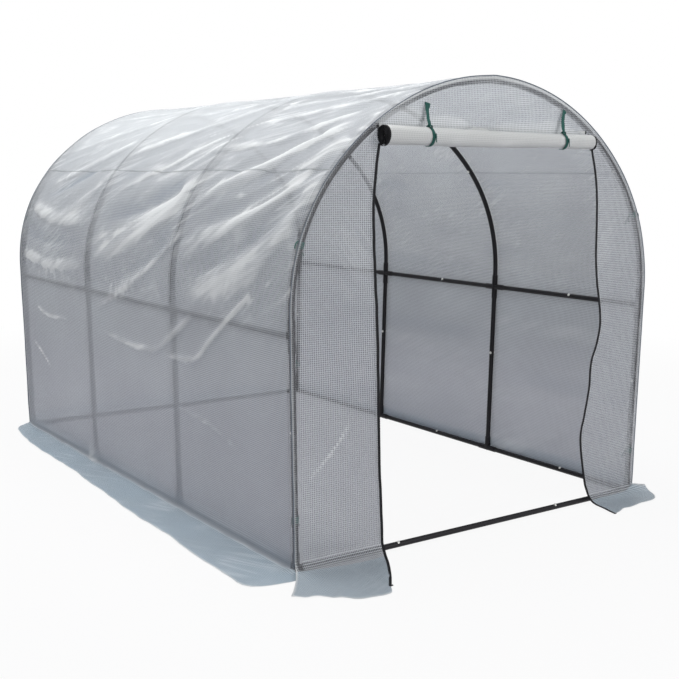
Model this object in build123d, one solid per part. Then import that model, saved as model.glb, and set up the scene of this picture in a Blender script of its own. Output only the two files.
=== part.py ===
from build123d import *
import math
import os

# Walk-in tunnel greenhouse: four steel hoops under a woven plastic cover
# X runs across, Y runs into the depth with the door at the front, Z is up
# The origin is on the ground, in the middle of the footprint

# Steel tube
tube_diameter = 25.0
tube_wall = 1.8
swage_length = 45.0
swage_clearance = 0.2
seat_clearance = 0.3

# Sleeve connectors: main sleeves on the hoop, thinner stubs for the rails
connector_wall = 2.6
stub_wall = 2.0
connector_arm = 65.0
socket_depth = 45.0
socket_clearance = 0.15

# Hoops
hoop_names = ["front", "second", "third", "rear"]
bay_length = 1020.0
base_half_width = 987.5
spring_flare = 22.5
spring_rise = 73.0
ridge_height = 1975.0
side_arc_turn = 42.0
ridge_slope = 4.6
mid_rail_height = 952.0
leg_joint_height = 557.0

# Rails and thresholds
rail_joint_distance = 430.0
threshold_joint_offset = 490.0

# Cover sheets
cover_thickness = 2.0
cover_clearance = 0.3
seam_height = 1595.0

# Door opening in the front wall
door_left = 635.0
door_right = 660.0
door_height = 1764.0
door_corner_radius = 150.0

# Door sheet rolled up above the opening
roll_left = 615.0
roll_right = 600.0
roll_height = 1725.0
roll_left_diameter = 80.0
roll_right_diameter = 68.0
roll_lap = 12.0

# Ties that hold the roll
tie_positions = [-380.0, 400.0]
tie_top_height = 1865.0
tie_width = 24.0
tie_thickness = 2.0
tie_seam = 10.0

# Cloth ties that hold the cover to the end hoops
cover_tie_width = 24.0
leg_tie_height = 220.0
left_arc_tie_angle = 18.0
right_arc_tie_angle = 24.5

# Zip tapes on the two door edges
zip_width = 18.0
zip_thickness = 3.0

# Ground skirts
side_skirt_front_width = 240.0
side_skirt_middle_width = 195.0
side_skirt_rear_width = 160.0
end_skirt_reach = 385.0
end_skirt_flare = 190.0
front_left_skirt_slant = 150.0
front_right_skirt_reach = 195.0
front_right_skirt_outer_reach = 135.0
front_right_skirt_flare = 85.0
skirt_corner_radius = 60.0

# Sizes that follow from the ones above
hoop_count = len(hoop_names)
swage_diameter = tube_diameter - 2 * tube_wall
socket_diameter = tube_diameter + 2 * socket_clearance
connector_diameter = socket_diameter + 2 * connector_wall
stub_diameter = socket_diameter + 2 * stub_wall
ground_height = connector_diameter / 2
seat_distance = connector_arm - socket_depth + seat_clearance
half_length = bay_length * (hoop_count - 1) / 2
hoop_places = [index * bay_length - half_length for index in range(hoop_count)]
cover_inner = connector_diameter / 2 + cover_clearance
cover_outer = cover_inner + cover_thickness
wall_place = half_length + cover_inner
ridge_straight = connector_arm + seat_clearance
spring_half_width = base_half_width + spring_flare
spring_height = mid_rail_height + spring_rise

# The leg leans out a little, so the arch starts past the vertical
lean = math.degrees(math.atan2(spring_flare, spring_height - ground_height))
joint_angle = side_arc_turn - lean

# The crown meets the ridge connector's sleeve, which slopes down a little on each side
slope_sin = math.sin(math.radians(ridge_slope))
slope_cos = math.cos(math.radians(ridge_slope))
crown_end_angle = 90 - ridge_slope
crown_end_x = ridge_straight * slope_cos
crown_end_z = ridge_height - ridge_straight * slope_sin

# Radii of the side and crown arcs, tangent to the leg, to each other and to the sleeve
lean_sin = math.sin(math.radians(lean))
lean_cos = math.cos(math.radians(lean))
joint_sin = math.sin(math.radians(joint_angle))
joint_cos = math.cos(math.radians(joint_angle))
arch_rise = crown_end_z - spring_height
arch_reach = spring_half_width - crown_end_x
crown_across = joint_cos - slope_sin
crown_up = joint_sin - slope_cos
side_across = joint_cos - lean_cos
side_up = joint_sin + lean_sin
closing = side_across * crown_up - crown_across * side_up
side_radius = -(crown_across * arch_rise + crown_up * arch_reach) / closing
crown_radius = -(side_across * arch_rise + side_up * arch_reach) / closing
side_center_x = spring_half_width - side_radius * lean_cos
side_center_z = spring_height + side_radius * lean_sin
crown_center_x = crown_end_x - crown_radius * slope_sin
crown_center_z = crown_end_z - crown_radius * slope_cos


# Places on the hoop's centre line

def leg_point(height, place):
    rise = height - ground_height
    return Vector(base_half_width + rise * lean_sin / lean_cos, place, height)


def leg_direction():
    return Vector(lean_sin, 0, lean_cos)


def ridge_direction():
    return Vector(slope_cos, 0, -slope_sin)


def leg_offset_x(height, offset):
    return leg_point(height, 0).X + offset / lean_cos


def polar_point(center_x, center_z, radius, angle):
    turn = math.radians(angle)
    return (center_x + radius * math.cos(turn), center_z + radius * math.sin(turn))


# Rods, straight and curved

def rod(start, end, diameter):
    run = end - start
    return Solid.make_cylinder(diameter / 2, run.length, Plane(origin=start, z_dir=run))


def curved_rod(center_x, center_z, radius, first_angle, last_angle, diameter, place):
    start_x, start_z = polar_point(center_x, center_z, radius, first_angle)
    turn = math.radians(first_angle)
    tangent = (-math.sin(turn), 0, math.cos(turn))
    section = Plane(origin=(start_x, place, start_z), z_dir=tangent) * Circle(diameter / 2)
    axis = Axis((center_x, place, center_z), (0, -1, 0))
    return revolve(section, axis, last_angle - first_angle)


def spigot_rod(start, end):
    step = (end - start).normalized()
    spigot = rod(end, end + step * swage_length, swage_diameter)
    return rod(start, end, tube_diameter) + spigot


def bored_rod(start, end, both_ends=False):
    step = (end - start).normalized()
    bore_diameter = swage_diameter + 2 * swage_clearance
    bore_depth = swage_length + seat_clearance
    body = rod(start, end, tube_diameter) - rod(start, start + step * bore_depth, bore_diameter)
    if both_ends:
        body = body - rod(end, end - step * bore_depth, bore_diameter)
    return body


def mirrored(shape):
    return mirror(shape, about=Plane.YZ)


def both_sides(shape):
    return [shape, mirrored(shape)]


def save(node, solids):
    export_step(Compound(solids), "parts/" + node + ".step")


# One hoop is two legs, each in two lengths, and an arch in four lengths

def lower_leg(place):
    start = leg_point(ground_height, place) + leg_direction() * seat_distance
    end = leg_point(leg_joint_height, place)
    return spigot_rod(start, end)


def upper_leg(place):
    start = leg_point(leg_joint_height, place) + leg_direction() * seat_clearance
    end = leg_point(mid_rail_height, place) - leg_direction() * seat_distance
    return bored_rod(start, end)


def side_arc(place):
    start = leg_point(mid_rail_height, place) + leg_direction() * seat_distance
    leg_end = rod(start, leg_point(spring_height, place), tube_diameter)
    arc = curved_rod(side_center_x, side_center_z, side_radius, -lean, joint_angle, tube_diameter, place)
    spigot_turn = math.degrees(swage_length / crown_radius)
    spigot = curved_rod(
        crown_center_x, crown_center_z, crown_radius,
        joint_angle, joint_angle + spigot_turn, swage_diameter, place,
    )
    return leg_end + arc + spigot


def crown_arc(place):
    gap_turn = math.degrees(seat_clearance / crown_radius)
    bore_turn = math.degrees((swage_length + seat_clearance) / crown_radius)
    first_angle = joint_angle + gap_turn
    arc = curved_rod(
        crown_center_x, crown_center_z, crown_radius, first_angle, crown_end_angle, tube_diameter, place
    )
    bore = curved_rod(
        crown_center_x, crown_center_z, crown_radius,
        first_angle, first_angle + bore_turn, swage_diameter + 2 * swage_clearance, place,
    )
    ridge = Vector(0, place, ridge_height)
    straight_start = ridge + ridge_direction() * ridge_straight
    straight_end = ridge + ridge_direction() * seat_distance
    return arc - bore + rod(straight_start, straight_end, tube_diameter)


for name, place in zip(hoop_names, hoop_places):
    save(name + "_hoop_lower_legs", both_sides(lower_leg(place)))
    save(name + "_hoop_upper_legs", both_sides(upper_leg(place)))
    save(name + "_hoop_side_arcs", both_sides(side_arc(place)))
    save(name + "_hoop_crown_arcs", both_sides(crown_arc(place)))


# Connectors: welded sleeves that take the tube ends in blind sockets

def connector(main_arms, stub_arms, rounded=False):
    center = Vector(0, 0, 0)
    body = rod(center, main_arms[0] * connector_arm, connector_diameter)
    if rounded:
        body = body + Solid.make_sphere(connector_diameter / 2)
    for direction in main_arms[1:]:
        body = body + rod(center, direction * connector_arm, connector_diameter)
    for direction in stub_arms:
        body = body + rod(center, direction * connector_arm, stub_diameter)
    for direction in main_arms + stub_arms:
        mouth = direction * connector_arm
        body = body - rod(mouth, mouth - direction * socket_depth, socket_diameter)
    return body


def rail_directions(index):
    directions = []
    if index > 0:
        directions.append(Vector(0, -1, 0))
    if index < hoop_count - 1:
        directions.append(Vector(0, 1, 0))
    return directions


base_connectors = []
rail_connectors = []
ridge_connectors = []
for index, place in enumerate(hoop_places):
    along = rail_directions(index)
    is_end = len(along) == 1
    inward = [Vector(-1, 0, 0)] if is_end else []
    leg_arms = [leg_direction(), -leg_direction()]
    ridge_arms = [ridge_direction(), Vector(-slope_cos, 0, -slope_sin)]
    foot = connector([leg_direction()], along + inward, rounded=True)
    base_connectors.append(Pos(leg_point(ground_height, place)) * foot)
    rail_connectors.append(Pos(leg_point(mid_rail_height, place)) * connector(leg_arms, along))
    ridge_connectors.append(Pos(0, place, ridge_height) * connector(ridge_arms, along, rounded=True))

save("right_base_connectors", base_connectors)
save("left_base_connectors", [mirrored(shape) for shape in base_connectors])
save("right_rail_connectors", rail_connectors)
save("left_rail_connectors", [mirrored(shape) for shape in rail_connectors])
save("ridge_connectors", ridge_connectors)


# Rails: two lengths in each bay, joined by a swage

def front_length(x, height, place):
    start = Vector(x, place + seat_distance, height)
    return spigot_rod(start, Vector(x, place + rail_joint_distance, height))


def rear_length(x, height, place):
    start = Vector(x, place + rail_joint_distance + seat_clearance, height)
    return bored_rod(start, Vector(x, place + bay_length - seat_distance, height))


bay_places = hoop_places[:-1]
rail_lines = {
    "ground_rail": [base_half_width, -base_half_width],
    "mid_rail": [leg_point(mid_rail_height, 0).X, -leg_point(mid_rail_height, 0).X],
    "ridge_rail": [0],
}
rail_heights = {"ground_rail": ground_height, "mid_rail": mid_rail_height, "ridge_rail": ridge_height}
for name, sides in rail_lines.items():
    height = rail_heights[name]
    save(name + "_front_lengths", [front_length(x, height, place) for x in sides for place in bay_places])
    save(name + "_rear_lengths", [rear_length(x, height, place) for x in sides for place in bay_places])

# Thresholds: a ground bar across each end, in three lengths
threshold_ends = []
threshold_middles = []
for place in (hoop_places[0], hoop_places[-1]):
    outer = Vector(base_half_width - seat_distance, place, ground_height)
    joint = Vector(threshold_joint_offset, place, ground_height)
    threshold_ends += both_sides(spigot_rod(outer, joint))
    middle_start = joint - Vector(seat_clearance, 0, 0)
    middle_end = Vector(-middle_start.X, place, ground_height)
    threshold_middles.append(bored_rod(middle_start, middle_end, both_ends=True))
save("threshold_end_lengths", threshold_ends)
save("threshold_middle_lengths", threshold_middles)


# The cover follows the hoop's line at an offset, from the skirt up over the ridge

def half_line(offset):
    foot = (leg_offset_x(skirt_thickness, offset), skirt_thickness)
    spring = polar_point(side_center_x, side_center_z, side_radius + offset, -lean)
    side_center = (side_center_x, side_center_z)
    side = CenterArc(side_center, side_radius + offset, -lean, side_arc_turn)
    crown_center = (crown_center_x, crown_center_z)
    crown = CenterArc(crown_center, crown_radius + offset, joint_angle, crown_end_angle - joint_angle)
    top = Line(crown @ 1, (0, ridge_height + offset / slope_cos))
    return [Line(foot, spring), side, crown, top]


def arch_face(offset):
    edges = half_line(offset)
    foot = edges[0] @ 0
    other_edges = [mirror(edge, about=Plane.YZ) for edge in edges]
    return make_face(edges + other_edges + [Line(foot, (-foot.X, foot.Y))])


def level_band(low, high):
    return Pos(0, (low + high) / 2) * Rectangle(4 * spring_half_width, high - low)


def prism(face, front_place, depth):
    plane = Plane(origin=(0, front_place + depth, 0), x_dir=(1, 0, 0), z_dir=(0, -1, 0))
    return extrude(plane * face, amount=depth)


# Side sheets reach from the skirt up to the seam, and the roof sheet from seam to seam
skirt_thickness = cover_thickness
end_face = arch_face(cover_outer)
cover_face = end_face - arch_face(cover_inner)
side_sheets = prism(cover_face & level_band(0, seam_height), -wall_place, 2 * wall_place)
roof_sheet = prism(cover_face & level_band(seam_height, 2 * ridge_height), -wall_place, 2 * wall_place)
left_sheet, right_sheet = side_sheets.solids().sort_by(Axis.X)
save("cover_left_side", [left_sheet])
save("cover_right_side", [right_sheet])
save("cover_roof", [roof_sheet])

# The end walls share the cover's outer outline
save("rear_wall", [prism(end_face, wall_place, cover_thickness)])

# The front wall is cut for the door, with round upper corners
front_place = -wall_place - cover_thickness
door_width = door_left + door_right
door_center = (door_right - door_left) / 2
door_face = Pos(door_center, door_height - ridge_height / 2) * Rectangle(door_width, ridge_height)
door_corners = door_face.vertices().sort_by(Axis.Y)[-2:]
door_face = fillet(door_corners, door_corner_radius)
gable = prism(end_face & level_band(door_height, 2 * ridge_height), front_place, cover_thickness)
side_panels = prism((end_face & level_band(0, door_height)) - door_face, front_place, cover_thickness)
left_panel, right_panel = side_panels.solids().sort_by(Axis.X)
save("front_gable", [gable])
save("front_left_panel", [left_panel])
save("front_right_panel", [right_panel])


# Zip tapes lie on the front wall along the door's two straight edges

def zip_tape(edge_x, side):
    length = door_height - door_corner_radius - skirt_thickness
    center_x = edge_x + side * zip_width / 2
    center_z = skirt_thickness + length / 2
    return Pos(center_x, front_place - zip_thickness / 2, center_z) * Box(zip_width, zip_thickness, length)


save("zip_tapes", [zip_tape(-door_left, -1), zip_tape(door_right, 1)])

# The rolled door sheet tapers a little and hangs on a lap sewn to the gable

def roll_radius(x):
    share = (x + roll_left) / roll_length
    return (roll_left_diameter + share * (roll_right_diameter - roll_left_diameter)) / 2


def roll_plane(x, radius):
    center_y = front_place - cover_thickness / 2 - radius
    return Plane(origin=(x, center_y, roll_height), x_dir=(0, -1, 0), z_dir=(-1, 0, 0))


roll_length = roll_left + roll_right
left_end = roll_plane(-roll_left, roll_radius(-roll_left)).origin
right_end = roll_plane(roll_right, roll_radius(roll_right)).origin
roll_axis = right_end - left_end
roll = Solid.make_cone(
    roll_left_diameter / 2, roll_right_diameter / 2, roll_axis.length, Plane(origin=left_end, z_dir=roll_axis)
)
lap_top = door_height + roll_lap
lap_height = lap_top - roll_height
lap_place = Pos((roll_right - roll_left) / 2, front_place - cover_thickness / 2, roll_height + lap_height / 2)
lap = lap_place * Box(roll_length, cover_thickness, lap_height)
save("door_roll", [roll + lap])


# Each tie is sewn to the gable, hangs over the lap and goes round the roll

def tie_strip(near, far, low, high, center):
    return Pos((near + far) / 2 - center, (low + high) / 2) * Rectangle(far - near, high - low)


def roll_tie(x):
    radius = roll_radius(x - tie_width / 2)
    center = cover_thickness / 2 + radius
    inner = Circle(radius + cover_clearance)
    outer = Circle(radius + cover_clearance + tie_thickness)
    strap_near = cover_thickness + cover_clearance
    strap_far = strap_near + tie_thickness
    seam_low = lap_top + cover_clearance - roll_height
    seam_high = seam_low + tie_seam
    top = tie_top_height - roll_height
    in_front = tie_strip(strap_near, 4 * radius, -2 * radius, 2 * radius, center)
    strap = tie_strip(strap_near, strap_far, 0, seam_high, center)
    seam = tie_strip(0, strap_far, seam_low, seam_high, center)
    anchor = tie_strip(0, tie_thickness, seam_low, top, center)
    profile = (outer & in_front) + strap + seam + anchor - inner
    return extrude(roll_plane(x + tie_width / 2, radius) * profile, amount=tie_width)


save("roll_ties", [roll_tie(x) for x in tie_positions])


# Cover ties are cloth rings round the two end hoops

tie_inner = tube_diameter + 2 * cover_clearance
tie_outer = tie_inner + 2 * tie_thickness


def leg_tie(place):
    half = leg_direction() * (cover_tie_width / 2)
    low = leg_point(leg_tie_height, place) - half
    high = leg_point(leg_tie_height, place) + half
    return rod(low, high, tie_outer) - rod(low, high, tie_inner)


def arc_tie(place, angle):
    half_turn = math.degrees(cover_tie_width / 2 / side_radius)
    low = angle - half_turn
    high = angle + half_turn
    ring = curved_rod(side_center_x, side_center_z, side_radius, low, high, tie_outer, place)
    return ring - curved_rod(side_center_x, side_center_z, side_radius, low, high, tie_inner, place)


cover_ties = []
for place in (hoop_places[0], hoop_places[-1]):
    cover_ties += both_sides(leg_tie(place))
    cover_ties.append(arc_tie(place, right_arc_tie_angle))
    cover_ties.append(mirrored(arc_tie(place, left_arc_tie_angle)))
save("cover_ties", cover_ties)


# Skirts lie flat on the ground outside the walls

def side_skirt():
    inner_x = leg_offset_x(skirt_thickness, cover_inner)
    front = (inner_x, -wall_place)
    rear = (inner_x, wall_place)
    front_corner = (inner_x + side_skirt_front_width, -wall_place)
    middle = (inner_x + side_skirt_middle_width, 0)
    rear_corner = (inner_x + side_skirt_rear_width, wall_place)
    outer_edge = Spline(front_corner, middle, rear_corner)
    edges = [Line(front, front_corner), outer_edge, Line(rear_corner, rear), Line(rear, front)]
    return extrude(make_face(edges), amount=skirt_thickness)


def end_skirt(corners):
    face = make_face(Polyline(corners, close=True))
    tips = face.vertices().sort_by(Axis.Y)[:2]
    return extrude(fillet(tips, skirt_corner_radius), amount=skirt_thickness)


right_skirt = side_skirt()
save("right_skirt", [right_skirt])
save("left_skirt", [mirrored(right_skirt)])

outer_foot_x = leg_offset_x(skirt_thickness, cover_outer)
flared_foot_x = outer_foot_x + end_skirt_flare
front_left_corners = [
    (-door_left, -wall_place),
    (-door_left - front_left_skirt_slant, -wall_place - end_skirt_reach),
    (-outer_foot_x, -wall_place - end_skirt_reach),
    (-flared_foot_x, -wall_place),
]
front_right_corners = [
    (door_right, -wall_place),
    (door_right, -wall_place - front_right_skirt_reach),
    (outer_foot_x, -wall_place - front_right_skirt_outer_reach),
    (outer_foot_x + front_right_skirt_flare, -wall_place),
]
rear_corners = [
    (-flared_foot_x, -wall_place),
    (-outer_foot_x, -wall_place - end_skirt_reach),
    (outer_foot_x, -wall_place - end_skirt_reach),
    (flared_foot_x, -wall_place),
]
save("front_left_skirt", [end_skirt(front_left_corners)])
save("front_right_skirt", [end_skirt(front_right_corners)])
save("rear_skirt", [mirror(end_skirt(rear_corners), about=Plane.XZ)])
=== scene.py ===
import math
import bpy
import numpy as np
from mathutils import Matrix, Vector


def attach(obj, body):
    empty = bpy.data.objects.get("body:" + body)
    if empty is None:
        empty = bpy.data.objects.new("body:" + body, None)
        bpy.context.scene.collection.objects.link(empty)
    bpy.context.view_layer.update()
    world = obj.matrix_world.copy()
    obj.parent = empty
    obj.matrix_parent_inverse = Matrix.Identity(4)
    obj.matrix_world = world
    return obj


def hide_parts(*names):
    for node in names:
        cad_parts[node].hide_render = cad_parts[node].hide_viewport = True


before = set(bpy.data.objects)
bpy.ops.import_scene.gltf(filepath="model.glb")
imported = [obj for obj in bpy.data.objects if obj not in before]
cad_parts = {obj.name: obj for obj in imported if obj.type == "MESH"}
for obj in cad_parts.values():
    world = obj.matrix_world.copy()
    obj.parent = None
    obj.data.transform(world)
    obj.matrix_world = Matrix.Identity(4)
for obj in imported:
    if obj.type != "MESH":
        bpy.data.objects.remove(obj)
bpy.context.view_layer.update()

# Tunnel greenhouse: steel hoops from the frame, dressed with a wrinkled woven cover

scene = bpy.context.scene
mm = 0.001


# The hoop's centre line in closed form, as its tubes are bent

hoop = {
    "baseHalf": 0.9875,
    "springFlare": 0.0225,
    "springHeight": 1.025,
    "footHeight": 0.01525,
    "ridgeHeight": 1.975,
    "ridgeStraight": 0.0653,
    "ridgeSlope": math.radians(4.6),
    "sideTurn": math.radians(42.0),
    "railHeight": 0.952,
    "places": [-1.53, -0.51, 0.51, 1.53],
    "tubeRadius": 0.0125,
    "wallPlace": 1.5465,
    "coverOffset": 0.0168,
    "floorGap": 0.0015,
}


def solveHoop(values):
    springHalf = values["baseHalf"] + values["springFlare"]
    lean = math.atan2(values["springFlare"], values["springHeight"] - values["footHeight"])
    joint = values["sideTurn"] - lean
    slope = values["ridgeSlope"]
    endX = values["ridgeStraight"] * math.cos(slope)
    endZ = values["ridgeHeight"] - values["ridgeStraight"] * math.sin(slope)
    rise = endZ - values["springHeight"]
    reach = springHalf - endX
    crownAcross = math.cos(joint) - math.sin(slope)
    crownUp = math.sin(joint) - math.cos(slope)
    sideAcross = math.cos(joint) - math.cos(lean)
    sideUp = math.sin(joint) + math.sin(lean)
    closing = sideAcross * crownUp - crownAcross * sideUp
    sideRadius = -(crownAcross * rise + crownUp * reach) / closing
    crownRadius = -(sideAcross * rise + sideUp * reach) / closing
    values.update({
        "lean": lean,
        "joint": joint,
        "springHalf": springHalf,
        "sideRadius": sideRadius,
        "crownRadius": crownRadius,
        "sideX": springHalf - sideRadius * math.cos(lean),
        "sideZ": values["springHeight"] + sideRadius * math.sin(lean),
        "crownX": endX - crownRadius * math.sin(slope),
        "crownZ": endZ - crownRadius * math.cos(slope),
    })


solveHoop(hoop)


def stretchLengths(offset):
    crown = (hoop["crownRadius"] + offset) * (math.pi / 2 - hoop["ridgeSlope"] - hoop["joint"])
    side = (hoop["sideRadius"] + offset) * (hoop["joint"] + hoop["lean"])
    springZ = hoop["springHeight"] - offset * math.sin(hoop["lean"])
    leg = (springZ - hoop["floorGap"]) / math.cos(hoop["lean"])
    return hoop["ridgeStraight"], crown, side, leg


def outline(distance, offset):
    # Point and outward direction at a signed distance from the ridge, left side negative
    side = np.where(distance < 0, -1.0, 1.0)
    s = np.abs(distance)
    straight, crown, sideArc, leg = stretchLengths(offset)
    slope = hoop["ridgeSlope"]
    x = s * math.cos(slope) + offset * math.sin(slope) * np.minimum(1, s / 0.02)
    z = hoop["ridgeHeight"] - s * math.sin(slope) + offset * math.cos(slope)
    angle = np.full_like(s, math.pi / 2 - slope)
    onCrown = s > straight
    radius = hoop["crownRadius"] + offset
    crownAngle = math.pi / 2 - slope - (s - straight) / radius
    x = np.where(onCrown, hoop["crownX"] + radius * np.cos(crownAngle), x)
    z = np.where(onCrown, hoop["crownZ"] + radius * np.sin(crownAngle), z)
    angle = np.where(onCrown, crownAngle, angle)
    onSide = s > straight + crown
    radius = hoop["sideRadius"] + offset
    sideAngle = hoop["joint"] - (s - straight - crown) / radius
    x = np.where(onSide, hoop["sideX"] + radius * np.cos(sideAngle), x)
    z = np.where(onSide, hoop["sideZ"] + radius * np.sin(sideAngle), z)
    angle = np.where(onSide, sideAngle, angle)
    onLeg = s > straight + crown + sideArc
    down = s - straight - crown - sideArc
    footX = hoop["springHalf"] + offset * math.cos(hoop["lean"])
    footZ = hoop["springHeight"] - offset * math.sin(hoop["lean"])
    x = np.where(onLeg, footX - down * math.sin(hoop["lean"]), x)
    z = np.where(onLeg, footZ - down * math.cos(hoop["lean"]), z)
    angle = np.where(onLeg, -hoop["lean"], angle)
    return x * side, z, np.cos(angle) * side, np.sin(angle)


def halfWidthAt(height, offset):
    # The outline's half width at a height, from the same line
    total = sum(stretchLengths(offset))
    table = np.linspace(0, total, 700)
    x, z, _, _ = outline(table, offset)
    return np.interp(height, z[::-1], x[::-1])


def distanceAt(height, offset):
    total = sum(stretchLengths(offset))
    table = np.linspace(0, total, 700)
    _, z, _, _ = outline(table, offset)
    return float(np.interp(height, z[::-1], table[::-1]))


coverOffset = hoop["coverOffset"]
footDistance = sum(stretchLengths(coverOffset))
railDistance = distanceAt(hoop["railHeight"], coverOffset)


# Smooth random fields, seeded, for slack and crumples in the film

def smoothField(a, b, cell, seed):
    rng = np.random.default_rng(seed)
    lattice = rng.uniform(-1, 1, (96, 96))
    u = a / cell + 11.3
    v = b / cell + 7.7
    iu = np.floor(u).astype(int)
    iv = np.floor(v).astype(int)
    fu = u - iu
    fv = v - iv
    fu = fu * fu * fu * (fu * (fu * 6 - 15) + 10)
    fv = fv * fv * fv * (fv * (fv * 6 - 15) + 10)
    get = lambda i, j: lattice[i % 96, j % 96]
    low = get(iu, iv) * (1 - fu) + get(iu + 1, iv) * fu
    high = get(iu, iv + 1) * (1 - fu) + get(iu + 1, iv + 1) * fu
    return low * (1 - fv) + high * fv


def crumple(a, b, cell, seed):
    # Sharp little ridges, as in stiff film that was folded once
    ridge = 1 - np.abs(smoothField(a, b, cell, seed)) * 2
    fine = 1 - np.abs(smoothField(a, b, cell * 0.47, seed + 5)) * 2
    return ridge * 0.65 + fine * 0.35


def smoothPath(points, steps=7):
    points = [np.array(p, float) for p in points]
    full = [2 * points[0] - points[1]] + points + [2 * points[-1] - points[-2]]
    path = []
    for i in range(1, len(full) - 2):
        p0, p1, p2, p3 = full[i - 1:i + 3]
        for k in range(steps):
            t = k / steps
            path.append(0.5 * (2 * p1 + (p2 - p0) * t + (2 * p0 - 5 * p1 + 4 * p2 - p3) * t * t
                               + (3 * p1 - p0 - 3 * p2 + p3) * t * t * t))
    path.append(points[-1])
    return np.array(path)


foldProfile = {"lower": 0.5, "upper": 1.35, "start": 0.12, "end": 0.25}


def creaseShape(a, b, path, width, spread=0):
    # Height of one fold: a rounded crest along its path, steeper on its lower side
    path = smoothPath(path)
    best = np.full(a.shape, 1e9)
    along = np.zeros(a.shape)
    under = np.zeros(a.shape)
    count = len(path) - 1
    for i in range(count):
        p, q = path[i], path[i + 1]
        step = q - p
        t = np.clip(((a - p[0]) * step[0] + (b - p[1]) * step[1]) / float(step @ step), 0, 1)
        da = a - p[0] - t * step[0]
        db = b - p[1] - t * step[1]
        d = da * da + db * db
        closer = d < best
        best = np.where(closer, d, best)
        along = np.where(closer, (i + t) / count, along)
        under = np.where(closer, db, under)
    width = width * (1 + spread * along)
    width = width * np.where(under > 0, foldProfile["lower"], foldProfile["upper"])
    taper = np.clip(along / foldProfile["start"], 0, 1) ** 0.5
    taper = taper * np.clip((1 - along) / foldProfile["end"], 0, 1) ** 0.7
    return np.exp(-(np.sqrt(best) / width) ** 2) * taper


# Mesh helpers

def addObject(name, mesh, materials):
    piece = bpy.data.objects.new(name, mesh)
    scene.collection.objects.link(piece)
    for material in materials:
        mesh.materials.append(material)
    return piece


def gridNormals(points):
    du = np.gradient(points, axis=0)
    dv = np.gradient(points, axis=1)
    normals = np.cross(du, dv)
    size = np.linalg.norm(normals, axis=2, keepdims=True)
    return normals / np.maximum(size, 1e-12)


def sheetObject(name, points, flat, thickness, materials, tone=None, faceMaterial=None):
    # A closed thin sheet: two layers of the grid and a rim on its four edges
    rows, columns = points.shape[:2]
    normals = gridNormals(points)
    half = normals * thickness / 2
    vertices = np.concatenate([(points + half).reshape(-1, 3), (points - half).reshape(-1, 3)])
    index = np.arange(rows * columns).reshape(rows, columns)
    back = index + rows * columns
    upper = np.stack([index[:-1, :-1], index[1:, :-1], index[1:, 1:], index[:-1, 1:]], -1).reshape(-1, 4)
    lower = np.stack([back[:-1, :-1], back[:-1, 1:], back[1:, 1:], back[1:, :-1]], -1).reshape(-1, 4)
    rims = []
    ring = [index[0, :], index[:, -1], index[-1, ::-1], index[::-1, 0]]
    for edge in ring:
        top = edge
        low = edge + rows * columns
        rims.append(np.stack([top[:-1], top[1:], low[1:], low[:-1]], -1))
    faces = np.concatenate([upper, lower] + rims)
    mesh = bpy.data.meshes.new(name)
    mesh.from_pydata(vertices.tolist(), [], faces.tolist())
    uvValues = np.concatenate([flat.reshape(-1, 2), flat.reshape(-1, 2)])
    layer = mesh.uv_layers.new(name="flat")
    layer.data.foreach_set("uv", uvValues[faces.reshape(-1)].astype(np.float32).reshape(-1))
    # The tone per point mostly carries the folds' painted highlight with some real whitening, and below zero
    # painted shade
    values = np.zeros(rows * columns) if tone is None else tone.reshape(-1)
    attribute = mesh.attributes.new("foldWhiteningAndPaintedLight", "FLOAT", "POINT")
    attribute.data.foreach_set("value", np.concatenate([values, values]).astype(np.float32))
    if faceMaterial is not None:
        cells = faceMaterial.reshape(-1)
        rimValues = [faceMaterial[0, :], faceMaterial[:, -1], faceMaterial[-1, ::-1], faceMaterial[::-1, 0]]
        slots = np.concatenate([cells, cells] + rimValues)
        mesh.polygons.foreach_set("material_index", slots.astype(np.int32))
    mesh.polygons.foreach_set("use_smooth", [True] * len(faces))
    mesh.update()
    return addObject(name, mesh, materials)


def gridArea(points):
    du = points[1:, :-1] - points[:-1, :-1]
    dv = points[:-1, 1:] - points[:-1, :-1]
    return float(np.linalg.norm(np.cross(du, dv), axis=2).sum())


def sweptStrip(name, path, sides, widths, thickness, materials, rings=4):
    # A flat strap swept along a path, with rounded edges and a width for each point
    path = np.array(path, float)
    sides = np.array(sides, float)
    tangents = np.gradient(path, axis=0)
    tangents /= np.linalg.norm(tangents, axis=1, keepdims=True)
    sides = sides - tangents * (sides * tangents).sum(1, keepdims=True)
    sides /= np.linalg.norm(sides, axis=1, keepdims=True)
    ups = np.cross(tangents, sides)
    section = []
    for k in range(rings * 4):
        turn = 2 * math.pi * k / (rings * 4)
        section.append((math.copysign(abs(math.cos(turn)) ** 0.5, math.cos(turn)),
                        math.copysign(abs(math.sin(turn)) ** 0.8, math.sin(turn))))
    vertices = []
    for i in range(len(path)):
        for across, up in section:
            vertices.append(path[i] + sides[i] * across * widths[i] / 2 + ups[i] * up * thickness / 2)
    count = len(section)
    faces = []
    for i in range(len(path) - 1):
        for k in range(count):
            a = i * count + k
            b = i * count + (k + 1) % count
            faces.append((a, b, b + count, a + count))
    faces.append(tuple(range(count))[::-1])
    last = (len(path) - 1) * count
    faces.append(tuple(range(last, last + count)))
    mesh = bpy.data.meshes.new(name)
    mesh.from_pydata([tuple(v) for v in vertices], [], faces)
    mesh.polygons.foreach_set("use_smooth", [True] * len(faces))
    mesh.update()
    return addObject(name, mesh, materials)


def joinPieces(name, pieces):
    first = pieces[0]
    with bpy.context.temp_override(active_object=first, object=first, selected_editable_objects=pieces):
        bpy.ops.object.join()
    first.name = name
    first.data.name = name
    return first


print("stage: outline and helpers ready")


# Node helpers: inputs take a value, or a socket to link from

def setInputs(tree, node, values):
    for key, value in values.items():
        if hasattr(value, "links"):
            tree.links.new(value, node.inputs[key])
        else:
            node.inputs[key].default_value = value


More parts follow.
